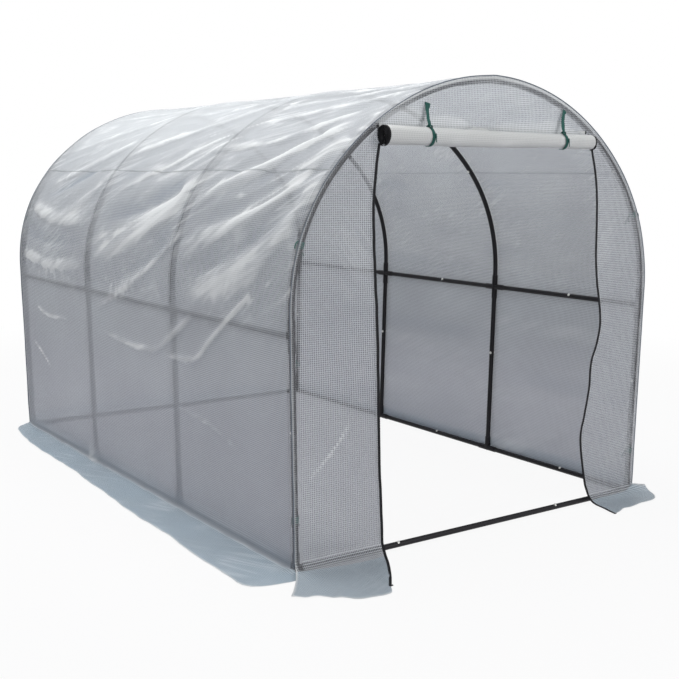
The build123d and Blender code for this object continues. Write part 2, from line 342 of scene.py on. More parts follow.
def addNode(tree, kind, values=None, **settings):
    node = tree.nodes.new(kind)
    for key, value in settings.items():
        setattr(node, key, value)
    setInputs(tree, node, values or {})
    return node


def math2(tree, operation, *parts):
    return addNode(tree, "ShaderNodeMath", dict(enumerate(parts)), operation=operation).outputs[0]


def mixColor(tree, factor, first, second):
    return addNode(tree, "ShaderNodeMix", {0: factor, 6: first, 7: second}, data_type="RGBA").outputs[2]


def mixShader(tree, factor, first, second):
    return addNode(tree, "ShaderNodeMixShader", {0: factor, 1: first, 2: second}).outputs[0]


def mapRange(tree, value, low, high, toLow=0.0, toHigh=1.0, kind="LINEAR"):
    return addNode(tree, "ShaderNodeMapRange", {
        "Value": value, "From Min": low, "From Max": high, "To Min": toLow, "To Max": toHigh,
    }, clamp=True, interpolation_type=kind).outputs["Result"]


def clampValue(tree, value):
    return addNode(tree, "ShaderNodeClamp", {"Value": value}).outputs[0]


def addNoise(tree, vector, scale, detail, roughness=0.5):
    return addNode(tree, "ShaderNodeTexNoise", {
        "Vector": vector, "Scale": scale, "Detail": detail, "Roughness": roughness}).outputs["Fac"]


def addBump(tree, height, strength, distance, under=None):
    bump = addNode(tree, "ShaderNodeBump", {"Height": height, "Strength": strength, "Distance": distance})
    if under:
        tree.links.new(under, bump.inputs["Normal"])
    return bump.outputs[0]


# Shader groups shared by the finishes: each takes a vector and numbers, and gives numbers

def newGroup(name, values, results):
    tree = bpy.data.node_groups.new(name, "ShaderNodeTree")
    tree.interface.new_socket("Vector", in_out="INPUT", socket_type="NodeSocketVector")
    for label, value in values.items():
        socket = tree.interface.new_socket(label, in_out="INPUT", socket_type="NodeSocketFloat")
        socket.default_value = value
    for label in results:
        tree.interface.new_socket(label, in_out="OUTPUT", socket_type="NodeSocketFloat")
    return tree, tree.nodes.new("NodeGroupInput").outputs, tree.nodes.new("NodeGroupOutput")


def buildThreadGrid():
    # Reinforcing threads laid into the film as a square grid
    tree, start, end = newGroup(
        "threadGrid", {"Pitch": 0.0085, "Thread Share": 0.3, "Softness": 0.12}, ("Threads", "Height"))
    parts = addNode(tree, "ShaderNodeSeparateXYZ", {0: start["Vector"]}).outputs
    bands = []
    for axis in (0, 1):
        fraction = math2(tree, "FRACT", math2(tree, "DIVIDE", parts[axis], start["Pitch"]))
        centred = math2(tree, "ABSOLUTE", math2(tree, "SUBTRACT", fraction, 0.5))
        edge = math2(tree, "MULTIPLY_ADD", centred, 2.0, -1.0)
        reach = math2(tree, "ADD", edge, start["Thread Share"])
        bands.append(clampValue(tree, math2(tree, "DIVIDE", reach, start["Softness"])))
    threads = math2(tree, "MAXIMUM", *bands)
    crossings = math2(tree, "MULTIPLY", *bands)
    setInputs(tree, end, {"Threads": threads, "Height": math2(tree, "MULTIPLY_ADD", crossings, 0.5, threads)})
    return tree


def buildHandledTone():
    # Slow uneven tone from handling, and a faint dust
    tree, start, end = newGroup(
        "handledTone", {"Cloud Scale": 3.0, "Speck Scale": 90.0, "Strength": 0.5}, ("Tone", "Speck"))
    clouds = addNoise(tree, start["Vector"], start["Cloud Scale"], 5.0)
    specks = addNoise(tree, start["Vector"], start["Speck Scale"], 2.0)
    tone = math2(tree, "MULTIPLY", mapRange(tree, clouds, 0.3, 0.7), start["Strength"])
    setInputs(tree, end, {"Tone": tone, "Speck": mapRange(tree, specks, 0.6, 0.75)})
    return tree


def buildRubbedCoat():
    # Rubbed places and grain in a coating
    tree, start, end = newGroup("rubbedCoat", {"Amount": 0.5}, ("Wear", "Grain"))
    rubbed = mapRange(tree, addNoise(tree, start["Vector"], 26.0, 8.0, 0.7), 0.62, 0.74)
    setInputs(tree, end, {
        "Wear": math2(tree, "MULTIPLY", rubbed, start["Amount"]),
        "Grain": addNoise(tree, start["Vector"], 900.0, 3.0)})
    return tree


def buildFilmStreaks():
    # Fine streaks and scratches in the film, finer than the mesh holds; their crests come out lighter, partly real
    # whitening and partly painted highlight
    tree, start, end = newGroup(
        "filmStreaks", {"Turn": 0.5, "Scale": 9.0, "Stretch": 0.16, "Width": 0.08}, ("Crest Whitening And Highlight", "Height", "Grain"))
    slow = math2(tree, "MULTIPLY", start["Scale"], start["Stretch"])
    size = addNode(tree, "ShaderNodeCombineXYZ", {"X": slow, "Y": start["Scale"], "Z": start["Scale"]})
    turned = addNode(tree, "ShaderNodeVectorRotate", {
        "Vector": start["Vector"], "Angle": start["Turn"]}, rotation_type="Z_AXIS")
    stretched = addNode(tree, "ShaderNodeVectorMath", {
        0: turned.outputs[0], 1: size.outputs[0]}, operation="MULTIPLY")
    noise = addNoise(tree, stretched.outputs[0], 1.0, 2.5)
    folded = math2(tree, "ABSOLUTE", math2(tree, "SUBTRACT", noise, 0.5))
    crest = clampValue(tree, math2(tree, "SUBTRACT", 1.0, math2(tree, "DIVIDE", folded, start["Width"])))
    broken = mapRange(tree, addNoise(tree, start["Vector"], 3.1, 2.0), 0.46, 0.62)
    setInputs(tree, end, {
        "Crest Whitening And Highlight": math2(tree, "MULTIPLY", math2(tree, "POWER", crest, 2.2), broken),
        "Grain": mapRange(tree, noise, 0.41, 0.59),
        "Height": math2(tree, "MULTIPLY", crest, 0.6)})
    return tree


threadGrid = buildThreadGrid()
handledTone = buildHandledTone()
rubbedCoat = buildRubbedCoat()
filmStreaks = buildFilmStreaks()


def newMaterial(name):
    material = bpy.data.materials.new(name)
    material.use_nodes = True
    tree = material.node_tree
    return material, tree, tree.nodes["Principled BSDF"], tree.nodes["Material Output"]


def placeGroup(tree, group, vector, values):
    return addNode(tree, "ShaderNodeGroup", dict(values, Vector=vector), node_tree=group).outputs


# Cover film. Places on it are measured along the tunnel and down from the ridge, in metres

coverFinish = {
    "filmColor": (0.485, 0.51, 0.545, 1),
    "threadColor": (0.80, 0.83, 0.865, 1),
    # Crest colour is partly real whitening and partly painted highlight; the shade colour is painted shade for the
    # troughs
    "foldColor": (0.93, 0.945, 0.95, 1),
    "shadeColor": (0.34, 0.39, 0.46, 1),
    "dustColor": (0.43, 0.43, 0.48, 1),
    "filmCover": 0.38,
    "threadCover": 0.90,
    "foldCover": 0.42,
    "foldBreak": 0.85,
    "pitch": 0.0085,
    "threadShare": 0.29,
    "roughness": 0.40,
    "through": 0.36,
    "streaks": 0.55,
    "streakTurn": math.radians(-26),
    "streakReach": 1.75,
    # Greyer towards the ground as painted shade of the ground seen through the film; denser below the side rail
    # and at the foot
    "lowGroundShadeColor": (0.54, 0.55, 0.615, 1),
    "lowFrom": 1.75,
    "lowCover": 0.24,
    "hazeFrom": 9.0,
    "footColor": (0.42, 0.47, 0.53, 1),
    "footCover": 0.0,
    # Milky over the ridge: partly a whiter roof film, partly painted top light, lowered towards the front as
    # painted shade of the front bay
    "milk": 0.0,
    "milkFull": 0.62,
    "milkGone": 1.50,
    "frontBayShadeMilk": 0.50,
    "milkColor": (0.80, 0.825, 0.845, 1),
    "milkShade": (0.43, 0.52, 0.63, 1),
    "milkCover": 0.66,
    # How much clearer the film is where it lies on a hoop
    "hoopTouch": False,
    "touchClear": 0.0,
    "touchInner": 0.012,
    "touchOuter": 0.017,
}


def layerCover(cover):
    # The sheet is drawn as two layers, so each of them covers less
    return 1 - math.sqrt(1 - cover)


def hoopStrips(tree, values, along, down):
    # Strips over the hoops: down to the side rail, and all the way down at the front
    first, second = hoop["places"][:2]
    offset = math2(tree, "SUBTRACT", along, first)
    nearest = math2(tree, "PINGPONG", offset, (second - first) / 2)
    strip = mapRange(tree, nearest, values["touchInner"], values["touchOuter"], 1.0, 0.0)
    above = mapRange(tree, down, 1.50, 1.62, 1.0, 0.0)
    front = mapRange(tree, along, -1.30, -1.20, 1.0, 0.0)
    strip = math2(tree, "MULTIPLY", strip, math2(tree, "MAXIMUM", above, front))
    return math2(tree, "MULTIPLY", strip, mapRange(tree, down, 0.5, 1.1, 0.4, 1.0))


def coverMaterial(name, **changes):
    values = dict(coverFinish, **changes)
    film, thread = layerCover(values["filmCover"]), layerCover(values["threadCover"])
    material, tree, shader, output = newMaterial(name)
    times = lambda a, b: math2(tree, "MULTIPLY", a, b)
    timesPlus = lambda a, b, c: math2(tree, "MULTIPLY_ADD", a, b, c)
    uv = addNode(tree, "ShaderNodeUVMap", uv_map="flat").outputs[0]
    grid = placeGroup(tree, threadGrid, uv, {
        "Pitch": values["pitch"], "Thread Share": values["threadShare"], "Softness": 0.14})
    tone = placeGroup(tree, handledTone, uv, {"Cloud Scale": 2.2, "Speck Scale": 160.0, "Strength": 0.35})
    along, across, _ = addNode(tree, "ShaderNodeSeparateXYZ", {0: uv}).outputs
    down = math2(tree, "ABSOLUTE", across)
    folded = addNode(tree, "ShaderNodeCombineXYZ", {0: along, 1: down}).outputs[0]
    streak = placeGroup(tree, filmStreaks, folded, {
        "Turn": values["streakTurn"], "Scale": 15.0, "Stretch": 0.085, "Width": 0.10})
    # Milky share, partly a whiter roof film and partly painted top light: full over the ridge, gone at the side
    # rail, and sooner on the right; painted shade lowers it towards the front
    leftMilk = mapRange(tree, down, values["milkFull"], values["milkGone"], values["milk"], 0.0)
    rightMilk = mapRange(tree, across, -0.80, -0.10)
    frontBayShade = mapRange(tree, along, -1.5, 0.7, values["frontBayShadeMilk"], 1.0)
    milk = times(math2(tree, "MINIMUM", leftMilk, rightMilk), frontBayShade)
    # Crests lighter, partly real whitening and partly painted highlight, broken up by streaks; painted shade in
    # the troughs
    fold = addNode(tree, "ShaderNodeAttribute", attribute_name="foldWhiteningAndPaintedLight").outputs["Fac"]
    crestWhiteningAndHighlightShare = mapRange(tree, fold, 0.04, 0.86, kind="SMOOTHSTEP")
    shadeMask = mapRange(tree, fold, 0.0, -1.0)
    upper = mapRange(tree, down, values["streakReach"], values["streakReach"] - 0.35, 0.0, values["streaks"])
    broken = timesPlus(streak["Grain"], values["foldBreak"], 1 - values["foldBreak"] * 0.55)
    crestWhiteningAndHighlightMask = math2(tree, "MAXIMUM", times(crestWhiteningAndHighlightShare, broken), times(streak["Crest Whitening And Highlight"], upper))
    low = mapRange(tree, down, values["lowFrom"], values["lowFrom"] + 0.35)
    foot = mapRange(tree, down, footDistance - 0.085, footDistance - 0.03)
    haze = mapRange(tree, down, values["hazeFrom"], values["hazeFrom"] + 0.14)
    base = mixColor(tree, grid["Threads"], values["filmColor"], values["threadColor"])
    base = mixColor(tree, tone["Tone"], base, values["dustColor"])
    # Painted shade of the ground seen through the film, low on the walls
    base = mixColor(tree, times(low, 0.4), base, values["lowGroundShadeColor"])
    base = mixColor(tree, times(foot, values["footCover"] * 2), base, values["footColor"])
    base = mixColor(tree, milk, base, values["milkColor"])
    shade = mixColor(tree, milk, values["shadeColor"], values["milkShade"])
    base = mixColor(tree, times(shadeMask, 0.75), base, shade)
    base = mixColor(tree, crestWhiteningAndHighlightMask, base, values["foldColor"])
    # How much of the view the film covers
    cover = timesPlus(grid["Threads"], thread - film, film)
    cover = timesPlus(haze, values["lowCover"], cover)
    cover = timesPlus(foot, values["footCover"], cover)
    cover = timesPlus(math2(tree, "SUBTRACT", values["milkCover"], cover), milk, cover)
    if values["hoopTouch"]:
        touch = hoopStrips(tree, values, along, down)
    else:
        touch = addNode(tree, "ShaderNodeAttribute", attribute_name="touch").outputs["Fac"]
    cover = times(cover, timesPlus(touch, -values["touchClear"], 1.0))
    cover = timesPlus(crestWhiteningAndHighlightMask, values["foldCover"], cover)
    weave = addBump(tree, grid["Height"], 0.35, 0.0006)
    setInputs(tree, shader, {
        "Base Color": base,
        "Roughness": timesPlus(tone["Speck"], 0.1, values["roughness"]),
        "IOR": 1.45,
        "Alpha": clampValue(tree, cover),
        "Normal": addBump(tree, times(streak["Height"], upper), 0.6, 0.006, weave)})
    # The share of light that goes through the film and spreads
    mean = film + (thread - film) * values["threadShare"] * 1.7
    spread = addNode(tree, "ShaderNodeBsdfTranslucent", {"Color": base})
    clear = addNode(tree, "ShaderNodeBsdfTransparent")
    density = timesPlus(milk, values["milkCover"] - mean, mean)
    through = mixShader(tree, density, clear.outputs[0], spread.outputs[0])
    setInputs(tree, output, {"Surface": mixShader(tree, values["through"], shader.outputs[0], through)})
    return material


def solidMaterial(name, color, roughness, wearColor=None, wear=0.0, grain=0.0, metallic=0.0, weave=None,
                  shine=0.5):
    material, tree, shader, _ = newMaterial(name)
    vector = addNode(tree, "ShaderNodeTexCoord").outputs["Object"]
    coat = placeGroup(tree, rubbedCoat, vector, {"Amount": wear})
    tone = placeGroup(tree, handledTone, vector, {"Cloud Scale": 7.0, "Speck Scale": 240.0, "Strength": 0.5})
    tint = lambda share: tuple(min(1, c * share) for c in color[:3]) + (1,)
    base = mixColor(tree, tone["Tone"], color, tint(0.72))
    height = coat["Grain"]
    if weave:
        threads = placeGroup(tree, threadGrid, vector, {"Pitch": weave, "Thread Share": 0.6, "Softness": 0.5})
        base = mixColor(tree, math2(tree, "MULTIPLY", threads["Threads"], 0.35), base, tint(1.5))
        height = threads["Height"]
    if wearColor:
        base = mixColor(tree, coat["Wear"], base, wearColor)
    setInputs(tree, shader, {
        "Base Color": base,
        "Roughness": math2(tree, "MULTIPLY_ADD", tone["Speck"], 0.12, roughness),
        "Metallic": metallic,
        "Specular IOR Level": shine,
        "Normal": addBump(tree, height, grain, 0.0004)})
    return material


coverSheet = coverMaterial(
    "cover film", milk=1.0, hazeFrom=1.50, footCover=0.30, hoopTouch=True, touchClear=0.60)
rearFilm = coverMaterial("rear wall film", streaks=0.2, lowFrom=9.0)
frontSheet = coverMaterial(
    "front wall film", filmCover=0.46, threadCover=0.97, threadShare=0.23, filmColor=(0.375, 0.39, 0.42, 1),
    threadColor=(0.88, 0.905, 0.93, 1), through=0.07, touchClear=0.72, lowFrom=9.0, foldBreak=0.3,
    streaks=0.25, streakTurn=math.radians(52))
gableFilm = coverMaterial(
    "gable film", filmCover=0.36, threadCover=0.96, threadShare=0.25, filmColor=(0.68, 0.71, 0.75, 1),
    threadColor=(0.88, 0.905, 0.93, 1), through=0.12, touchClear=0.45, lowFrom=9.0, foldBreak=0.3,
    streaks=0.4, streakTurn=0.0, streakReach=9.0)
skirtSheet = coverMaterial(
    "skirt film", filmCover=0.78, threadCover=0.97, filmColor=(0.37, 0.465, 0.54, 1), threadShare=0.30,
    threadColor=(0.72, 0.80, 0.86, 1), dustColor=(0.44, 0.49, 0.54, 1), foldBreak=0.3,
    streaks=0.3, streakReach=9.0, lowFrom=9.0)
flapSheet = coverMaterial(
    "front flap film", filmCover=0.72, threadCover=0.98, filmColor=(0.37, 0.45, 0.52, 1), threadShare=0.27,
    threadColor=(0.78, 0.85, 0.90, 1), dustColor=(0.40, 0.45, 0.50, 1), through=0.1, foldBreak=0.3,
    streaks=0.15, streakReach=9.0, lowFrom=9.0)
rollSheet = coverMaterial(
    "rolled door film", filmCover=0.97, threadCover=1.0, filmColor=(0.77, 0.785, 0.785, 1),
    threadColor=(0.85, 0.86, 0.86, 1), foldColor=(0.93, 0.935, 0.93, 1), dustColor=(0.68, 0.66, 0.62, 1),
    through=0.10, streaks=0.3, streakReach=9.0, streakTurn=0.0, lowFrom=9.0)
frameSteel = solidMaterial("coated tube steel", (0.0085, 0.0075, 0.0105, 1), 0.40,
                           wearColor=(0.045, 0.042, 0.045, 1), wear=0.5, grain=0.08, shine=0.22)
connectorSteel = solidMaterial("coated sleeve steel", (0.0095, 0.0085, 0.0115, 1), 0.45,
                               wearColor=(0.055, 0.05, 0.05, 1), wear=0.6, grain=0.12, shine=0.22)
boltSteel = solidMaterial("zinc bolt", (0.72, 0.72, 0.70, 1), 0.3, wearColor=(0.3, 0.28, 0.25, 1),
                          wear=0.5, grain=0.1, metallic=0.9)
zipBlack = solidMaterial("black zip tape", (0.010, 0.010, 0.012, 1), 0.75, grain=0.5, weave=0.0012, shine=0.25)
tieGreen = solidMaterial("green tie cloth", (0.012, 0.085, 0.070, 1), 0.82, grain=0.6, weave=0.0016)
stitchThread = solidMaterial("light stitch thread", (0.70, 0.72, 0.73, 1), 0.7, grain=0.3)
hemFilm = solidMaterial("folded hem film", (0.13, 0.155, 0.19, 1), 0.5, grain=0.4, weave=0.0042)

print("stage: finishes ready")


# Frame nodes keep their shape and take the coated finishes

for nodeName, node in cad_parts.items():
    material = connectorSteel if "connectors" in nodeName else frameSteel
    for slot in node.material_slots:
        slot.material = material


# Cover folds as rows of height in mm, width in mm, paleness (on crests partly real whitening and partly painted
# highlight, on troughs painted shade), spread on the way, and path.
# Paths are (place along the tunnel, distance down from the ridge), in metres

coverFolds = {
    "crests": [
        (13, 45, 1.0, 0, [(-1.42, 0.68), (-1.19, 0.80), (-1.02, 0.93), (-0.76, 1.05), (-0.60, 1.15)]),
        (16, 50, 1.05, 0.5, [
            (-1.50, 0.78), (-1.43, 0.90), (-1.31, 1.06), (-1.11, 1.17), (-0.84, 1.29), (-0.58, 1.40)]),
        (16, 55, 0.72, 1.0, [
            (-1.53, 0.97), (-1.50, 1.10), (-1.38, 1.29), (-1.23, 1.42), (-0.91, 1.52), (-0.64, 1.57)]),
        (10, 40, 0.8, 0, [(-1.34, 0.58), (-1.13, 0.66), (-0.91, 0.76), (-0.58, 0.81), (-0.34, 0.83)]),
        (15, 55, 1.0, 0.6, [(-0.50, 0.97), (-0.44, 1.13), (-0.28, 1.24), (0.08, 1.37), (0.47, 1.47)]),
        (9, 26, 0.7, 0, [(-0.60, 1.26), (-0.42, 1.38), (-0.15, 1.52), (0.17, 1.64), (0.38, 1.72)]),
        (10, 50, 0.85, 0, [(1.47, 1.20), (1.20, 1.26), (0.90, 1.28), (0.56, 1.25)]),
        (10, 35, 0.95, 0, [(1.48, 1.50), (1.10, 1.54), (0.80, 1.53), (0.46, 1.50)]),
        (8, 45, 0.4, 0, [(0.50, 0.96), (0.67, 1.13), (0.99, 1.26)]),
        (11, 16, 0.9, 0, [(-1.25, 1.50), (-1.04, 1.63), (-0.88, 1.74), (-0.72, 1.84), (-0.43, 1.86)]),
        (10, 17, 0.9, 0, [(-0.74, 1.64), (-0.52, 1.76), (-0.33, 1.85), (0.01, 1.86), (0.35, 1.83)]),
        (5, 10, 0.8, 0, [(1.39, 2.02), (1.25, 2.09), (1.12, 2.16)]),
        (5, 12, 0.8, 0, [(1.30, 1.80), (1.13, 1.84), (0.81, 1.83)]),
        (4, 16, 0.3, 0, [(-0.55, 2.08), (-0.88, 2.12), (-1.18, 2.20)]),
        (9, 30, 0.7, 0, [(-1.48, 0.40), (-1.20, 0.46), (-0.85, 0.56), (-0.56, 0.66)]),
        (8, 28, 0.6, 0, [(-1.48, 0.26), (-1.10, 0.34), (-0.75, 0.42), (-0.54, 0.50)]),
        (7, 30, 0.5, 0, [(-1.46, 0.10), (-1.05, 0.17), (-0.60, 0.26)]),
        (9, 34, 0.7, 0, [(-0.48, 0.42), (-0.10, 0.58), (0.30, 0.76), (0.50, 0.88)]),
        (8, 30, 0.7, 0, [(-0.46, 0.70), (-0.20, 0.84), (0.10, 0.98), (0.34, 1.10)]),
        (7, 30, 0.5, 0, [(-0.46, 0.22), (0.00, 0.34), (0.46, 0.50)]),
        (8, 32, 0.6, 0, [(0.56, 0.46), (0.95, 0.60), (1.45, 0.80)]),
        (8, 34, 0.6, 0, [(0.58, 0.74), (0.90, 0.90), (1.36, 1.06)]),
        (6, 28, 0.45, 0, [(0.56, 0.20), (1.00, 0.30), (1.46, 0.44)]),
    ],
    "troughs": [
        (9, 30, 0.8, 0, [(-1.48, 0.48), (-1.20, 0.53), (-0.85, 0.64), (-0.56, 0.74)]),
        (8, 26, 0.7, 0, [(-1.48, 0.33), (-1.10, 0.40), (-0.75, 0.49), (-0.54, 0.57)]),
        (7, 26, 0.5, 0, [(-1.46, 0.18), (-1.05, 0.25), (-0.60, 0.34)]),
        (9, 32, 0.8, 0, [(-0.48, 0.50), (-0.10, 0.66), (0.30, 0.85), (0.50, 0.96)]),
        (7, 28, 0.5, 0, [(-0.46, 0.30), (0.00, 0.42), (0.46, 0.58)]),
        (8, 30, 0.7, 0, [(0.56, 0.54), (0.95, 0.68), (1.45, 0.89)]),
        (8, 32, 0.7, 0, [(0.58, 0.84), (0.90, 0.99), (1.36, 1.15)]),
        (11, 50, 0.5, 0, [(-1.30, 0.52), (-1.18, 0.57), (-0.96, 0.68), (-0.81, 0.78), (-0.60, 0.86)]),
        (11, 45, 0.45, 0, [(-1.26, 0.72), (-1.16, 0.76), (-0.95, 0.88), (-0.72, 0.98)]),
        (13, 50, 0.5, 0, [(-1.46, 0.94), (-1.22, 1.07), (-0.96, 1.17), (-0.62, 1.24)]),
        (12, 50, 0.5, 0, [(-1.46, 1.08), (-1.26, 1.24), (-0.96, 1.38), (-0.64, 1.47)]),
        (11, 55, 0.5, 0, [(-0.40, 1.05), (-0.28, 1.11), (0.00, 1.18), (0.40, 1.27)]),
        (8, 45, 0.3, 0, [(-0.48, 1.30), (-0.20, 1.44), (0.20, 1.56), (0.45, 1.60)]),
        (9, 50, 0.4, 0, [(1.45, 1.36), (1.10, 1.40), (0.58, 1.38)]),
    ],
    "roofSag": 0.020,
    "sideSag": 0.010,
    "rightShare": 0.6,
    "seed": 41,
}


def bayPhase(y):
    # 0 on a hoop and 1 in the middle of a bay
    places = np.array(hoop["places"])
    bay = places[1] - places[0]
    share = np.clip((y - places[0]) / bay, 0, len(places) - 1 - 1e-9)
    inside = share - np.floor(share)
    return 1 - np.abs(inside * 2 - 1) ** 1.7


def streakField(y, s, seed):
    # Long creases that fall from the front hoop's haunch towards the rear
    turn = np.radians(30 - 16 * np.clip(y + 0.5, 0, 1))
    along = y * np.cos(turn) + s * np.sin(turn)
    across = s * np.cos(turn) - y * np.sin(turn)
    return crumple(along * 0.24, across, 0.085, seed)


def coverRelief(y, s, strength=1.0):
    # Outward height of the cover over the hoop line, and its fold tone there: crests lighter, partly real
    # whitening and partly painted highlight, troughs painted shade
    relief = np.zeros_like(y)
    tone = np.zeros_like(y)
    for sign, folds in ((1, coverFolds["crests"]), (-1, coverFolds["troughs"])):
        for height, width, foldPaintedLight, spread, path in folds:
            shape = creaseShape(y, s, path, width * mm, spread) * sign
            relief += shape * height * mm
            tone += shape * foldPaintedLight
    ragged = streakField(y * 1.3, s, coverFolds["seed"] + 12)
    tone = np.where(tone > 0, tone * (0.72 + 0.55 * ragged), tone)
    relief *= strength
    tone *= strength
    phase = bayPhase(y)
    onRoof = np.clip((1.25 - s) / 0.5, 0, 1)
    sag = coverFolds["roofSag"] * onRoof + coverFolds["sideSag"] * (1 - onRoof)
    upper = np.clip((1.75 - s) / 0.3, 0, 1)
    drift = s * 0.8 - y * 0.45
    crumples = crumple(y * 0.7, drift * 1.6, 0.19, coverFolds["seed"])
    fine = crumple(y, s, 0.055, coverFolds["seed"] + 1)
    slack = smoothField(y, s, 0.33, coverFolds["seed"] + 2)
    relief += phase * (-sag + slack * 0.006 + upper * crumples * 0.0035 + fine * (0.0004 + 0.0007 * upper))
    # Crumple crests painted lighter, partly real whitening and partly painted highlight
    tone += upper * np.clip(crumples - 0.45, 0, 1) * 0.5 + upper * np.clip(fine - 0.55, 0, 1) * 0.25
    streak = streakField(y, s, coverFolds["seed"] + 6)
    front = np.clip((0.9 - y) / 1.2, 0.25, 1)
    relief += phase * upper * front * streak * 0.0035
    # Streak crests painted lighter and their troughs given painted shade
    tone += upper * front * (np.clip(streak - 0.35, 0, 1) * 0.9 - np.clip(-streak, 0, 1) * 0.5)
    # A gather above and below the side rail, where the film bunches over the bar, its crests painted lighter,
    # partly real whitening and partly painted highlight
    band = np.exp(-((s - railDistance + 0.07) / 0.075) ** 2)
    bunch = crumple(y * 1.5, s * 0.6, 0.06, coverFolds["seed"] + 3)
    rearBays = np.clip((y + 0.35) / 0.5, 0.15, 1)
    relief += band * phase * bunch * 0.004 * rearBays
    tone += band * phase * np.clip(bunch, 0, 1) * 0.6 * rearBays
    foot = np.exp(-((s - footDistance + 0.03) / 0.05) ** 2)
    pleats = crumple(y * 2.2, s * 0.5, 0.05, coverFolds["seed"] + 4)
    relief += foot * pleats * 0.0012
    rearEnd = np.exp(-((y - 1.49) / 0.05) ** 2) * upper
    relief += rearEnd * crumple(y * 0.6, s * 1.3, 0.06, coverFolds["seed"] + 11) * 0.005
    # A raised gather at the foot of the third hoop, painted lighter: partly real whitening, partly painted
    # highlight
    gather = np.exp(-((y - hoop["places"][2]) / 0.07) ** 2 - ((s - footDistance) / 0.09) ** 2)
    tone += gather * 0.6
    # The film can't sink into a hoop or a rail
    nearHoop = np.zeros_like(y)
    for place in hoop["places"]:
        nearHoop = np.maximum(nearHoop, np.clip(1.6 - np.abs(y - place) / 0.016, 0, 1))
    nearRail = np.clip(1.6 - np.abs(s - railDistance) / 0.016, 0, 1)
    nearRidge = np.clip(1.6 - s / 0.016, 0, 1)
    nearGround = np.clip((s - footDistance + 0.060) / 0.025, 0, 1)
    onBar = np.maximum(np.maximum(nearHoop, nearRail), np.maximum(nearRidge, nearGround))
    relief = relief * (1 - onBar) + np.maximum(relief, 0) * 0.35 * onBar
    relief += gather * (0.010 + 0.006 * pleats)
    ends = np.clip((hoop["wallPlace"] - np.abs(y)) / 0.02, 0, 1)
    return relief * ends, np.clip(tone, -1, 1)


def calmRelief(y, s):
    # The right side hangs smoother, in level waves, with painted light and shade that follow the waves
    level = smoothField(y * 0.22, s, 0.10, coverFolds["seed"] + 8)
    wide = smoothField(y * 0.5, s, 0.34, coverFolds["seed"] + 9)
    fine = smoothField(y * 0.3, s, 0.035, coverFolds["seed"] + 10)
    phase = bayPhase(y)
    ends = np.clip((hoop["wallPlace"] - np.abs(y)) / 0.02, 0, 1)
    nearRail = 1 - np.exp(-((s - railDistance) / 0.03) ** 2)
    nearRail = nearRail * np.clip((footDistance - 0.035 - s) / 0.06, 0, 1)
    relief = phase * (level * 0.0035 + wide * 0.006 - 0.006) * nearRail + phase * fine * 0.0006
    return relief * ends, np.clip(level * 0.30 + wide * 0.15, -1, 1)


def coverPoints(y, s, sideSign, lift=0.0):
    if sideSign < 0:
        relief, tone = coverRelief(y, np.abs(s))
    else:
        relief, tone = coverRelief(y, np.abs(s), coverFolds["rightShare"])
        calm, calmTone = calmRelief(y, np.abs(s))
        roofShare = np.clip((0.75 - np.abs(s)) / 0.5, 0, 1)
        relief = relief * roofShare + calm * (1 - roofShare)
        tone = tone * roofShare + calmTone * (1 - roofShare)
    x, z, nx, nz = outline(np.abs(s) * sideSign + 1e-9 * sideSign, coverOffset)
    x = x + nx * (relief + lift)
    z = z + nz * (relief + lift)
    return np.stack([x, y, z], -1), tone


# Roof sheet, from seam to seam

roofSheet = {"seam": 1.595, "lap": 0.008, "step": 0.0122, "thickness": 0.0009, "lift": 0.0014}


def makeRoof():
    seamDistance = distanceAt(roofSheet["seam"], coverOffset) + roofSheet["lap"]
    rows = int(2 * hoop["wallPlace"] / roofSheet["step"])
    columns = int(2 * seamDistance / roofSheet["step"]) | 1
    along = np.linspace(-hoop["wallPlace"], hoop["wallPlace"], rows)
    across = np.linspace(-seamDistance, seamDistance, columns)
    y, s = np.meshgrid(along, across, indexing="ij")
    left, leftTone = coverPoints(y, s, -1.0, roofSheet["lift"])
    right, rightTone = coverPoints(y, s, 1.0, roofSheet["lift"])
    isRight = (s > 0)[..., None]
    points = np.where(isRight, right, left)
    blend = np.clip(np.abs(s) / 0.1, 0, 1)
    tone = np.where(s > 0, rightTone, leftTone) * blend
    hem = np.clip((np.abs(s) - seamDistance + roofSheet["lap"]) / 0.004, 0, 1)
    tone = np.maximum(tone, hem * 0.5)
    flat = np.stack([y, -s], -1)
    piece = sheetObject("roof_sheet", points, flat, roofSheet["thickness"], [coverSheet], tone)
    area = gridArea(points)
    return piece, (2 * hoop["wallPlace"], 2 * seamDistance), area


# Side sheets run from the seam down to the ground and out as skirts

sideSheet = {
    "step": 0.0125,
    "thickness": 0.0009,
    "skirtSteps": 17,
    "skirtWidth": 0.26,
    "turnIn": 0.04,
    "bendRadius": 0.018,
    # Outer edge of the skirt: (place along the tunnel, distance from the middle)
    "edge": [(-1.62, 1.03), (-1.585, 1.20), (-1.53, 1.243), (-1.42, 1.238), (-1.0, 1.229), (-0.6, 1.219),
             (0.0, 1.192), (0.51, 1.168), (0.76, 1.171), (1.1, 1.155), (1.38, 1.13), (1.52, 1.085), (1.575, 1.02)],
    "rightEdge": [(-1.60, 1.03), (-1.53, 1.07), (-1.44, 1.12), (-1.32, 1.19), (-1.2, 1.232), (-1.0, 1.229),
                  (-0.6, 1.219), (0.0, 1.192), (0.51, 1.168), (0.76, 1.171), (1.1, 1.155), (1.38, 1.13),
                  (1.52, 1.085), (1.575, 1.02)],
    "edgeWave": 0.007,
    "ripple": 0.006,
}


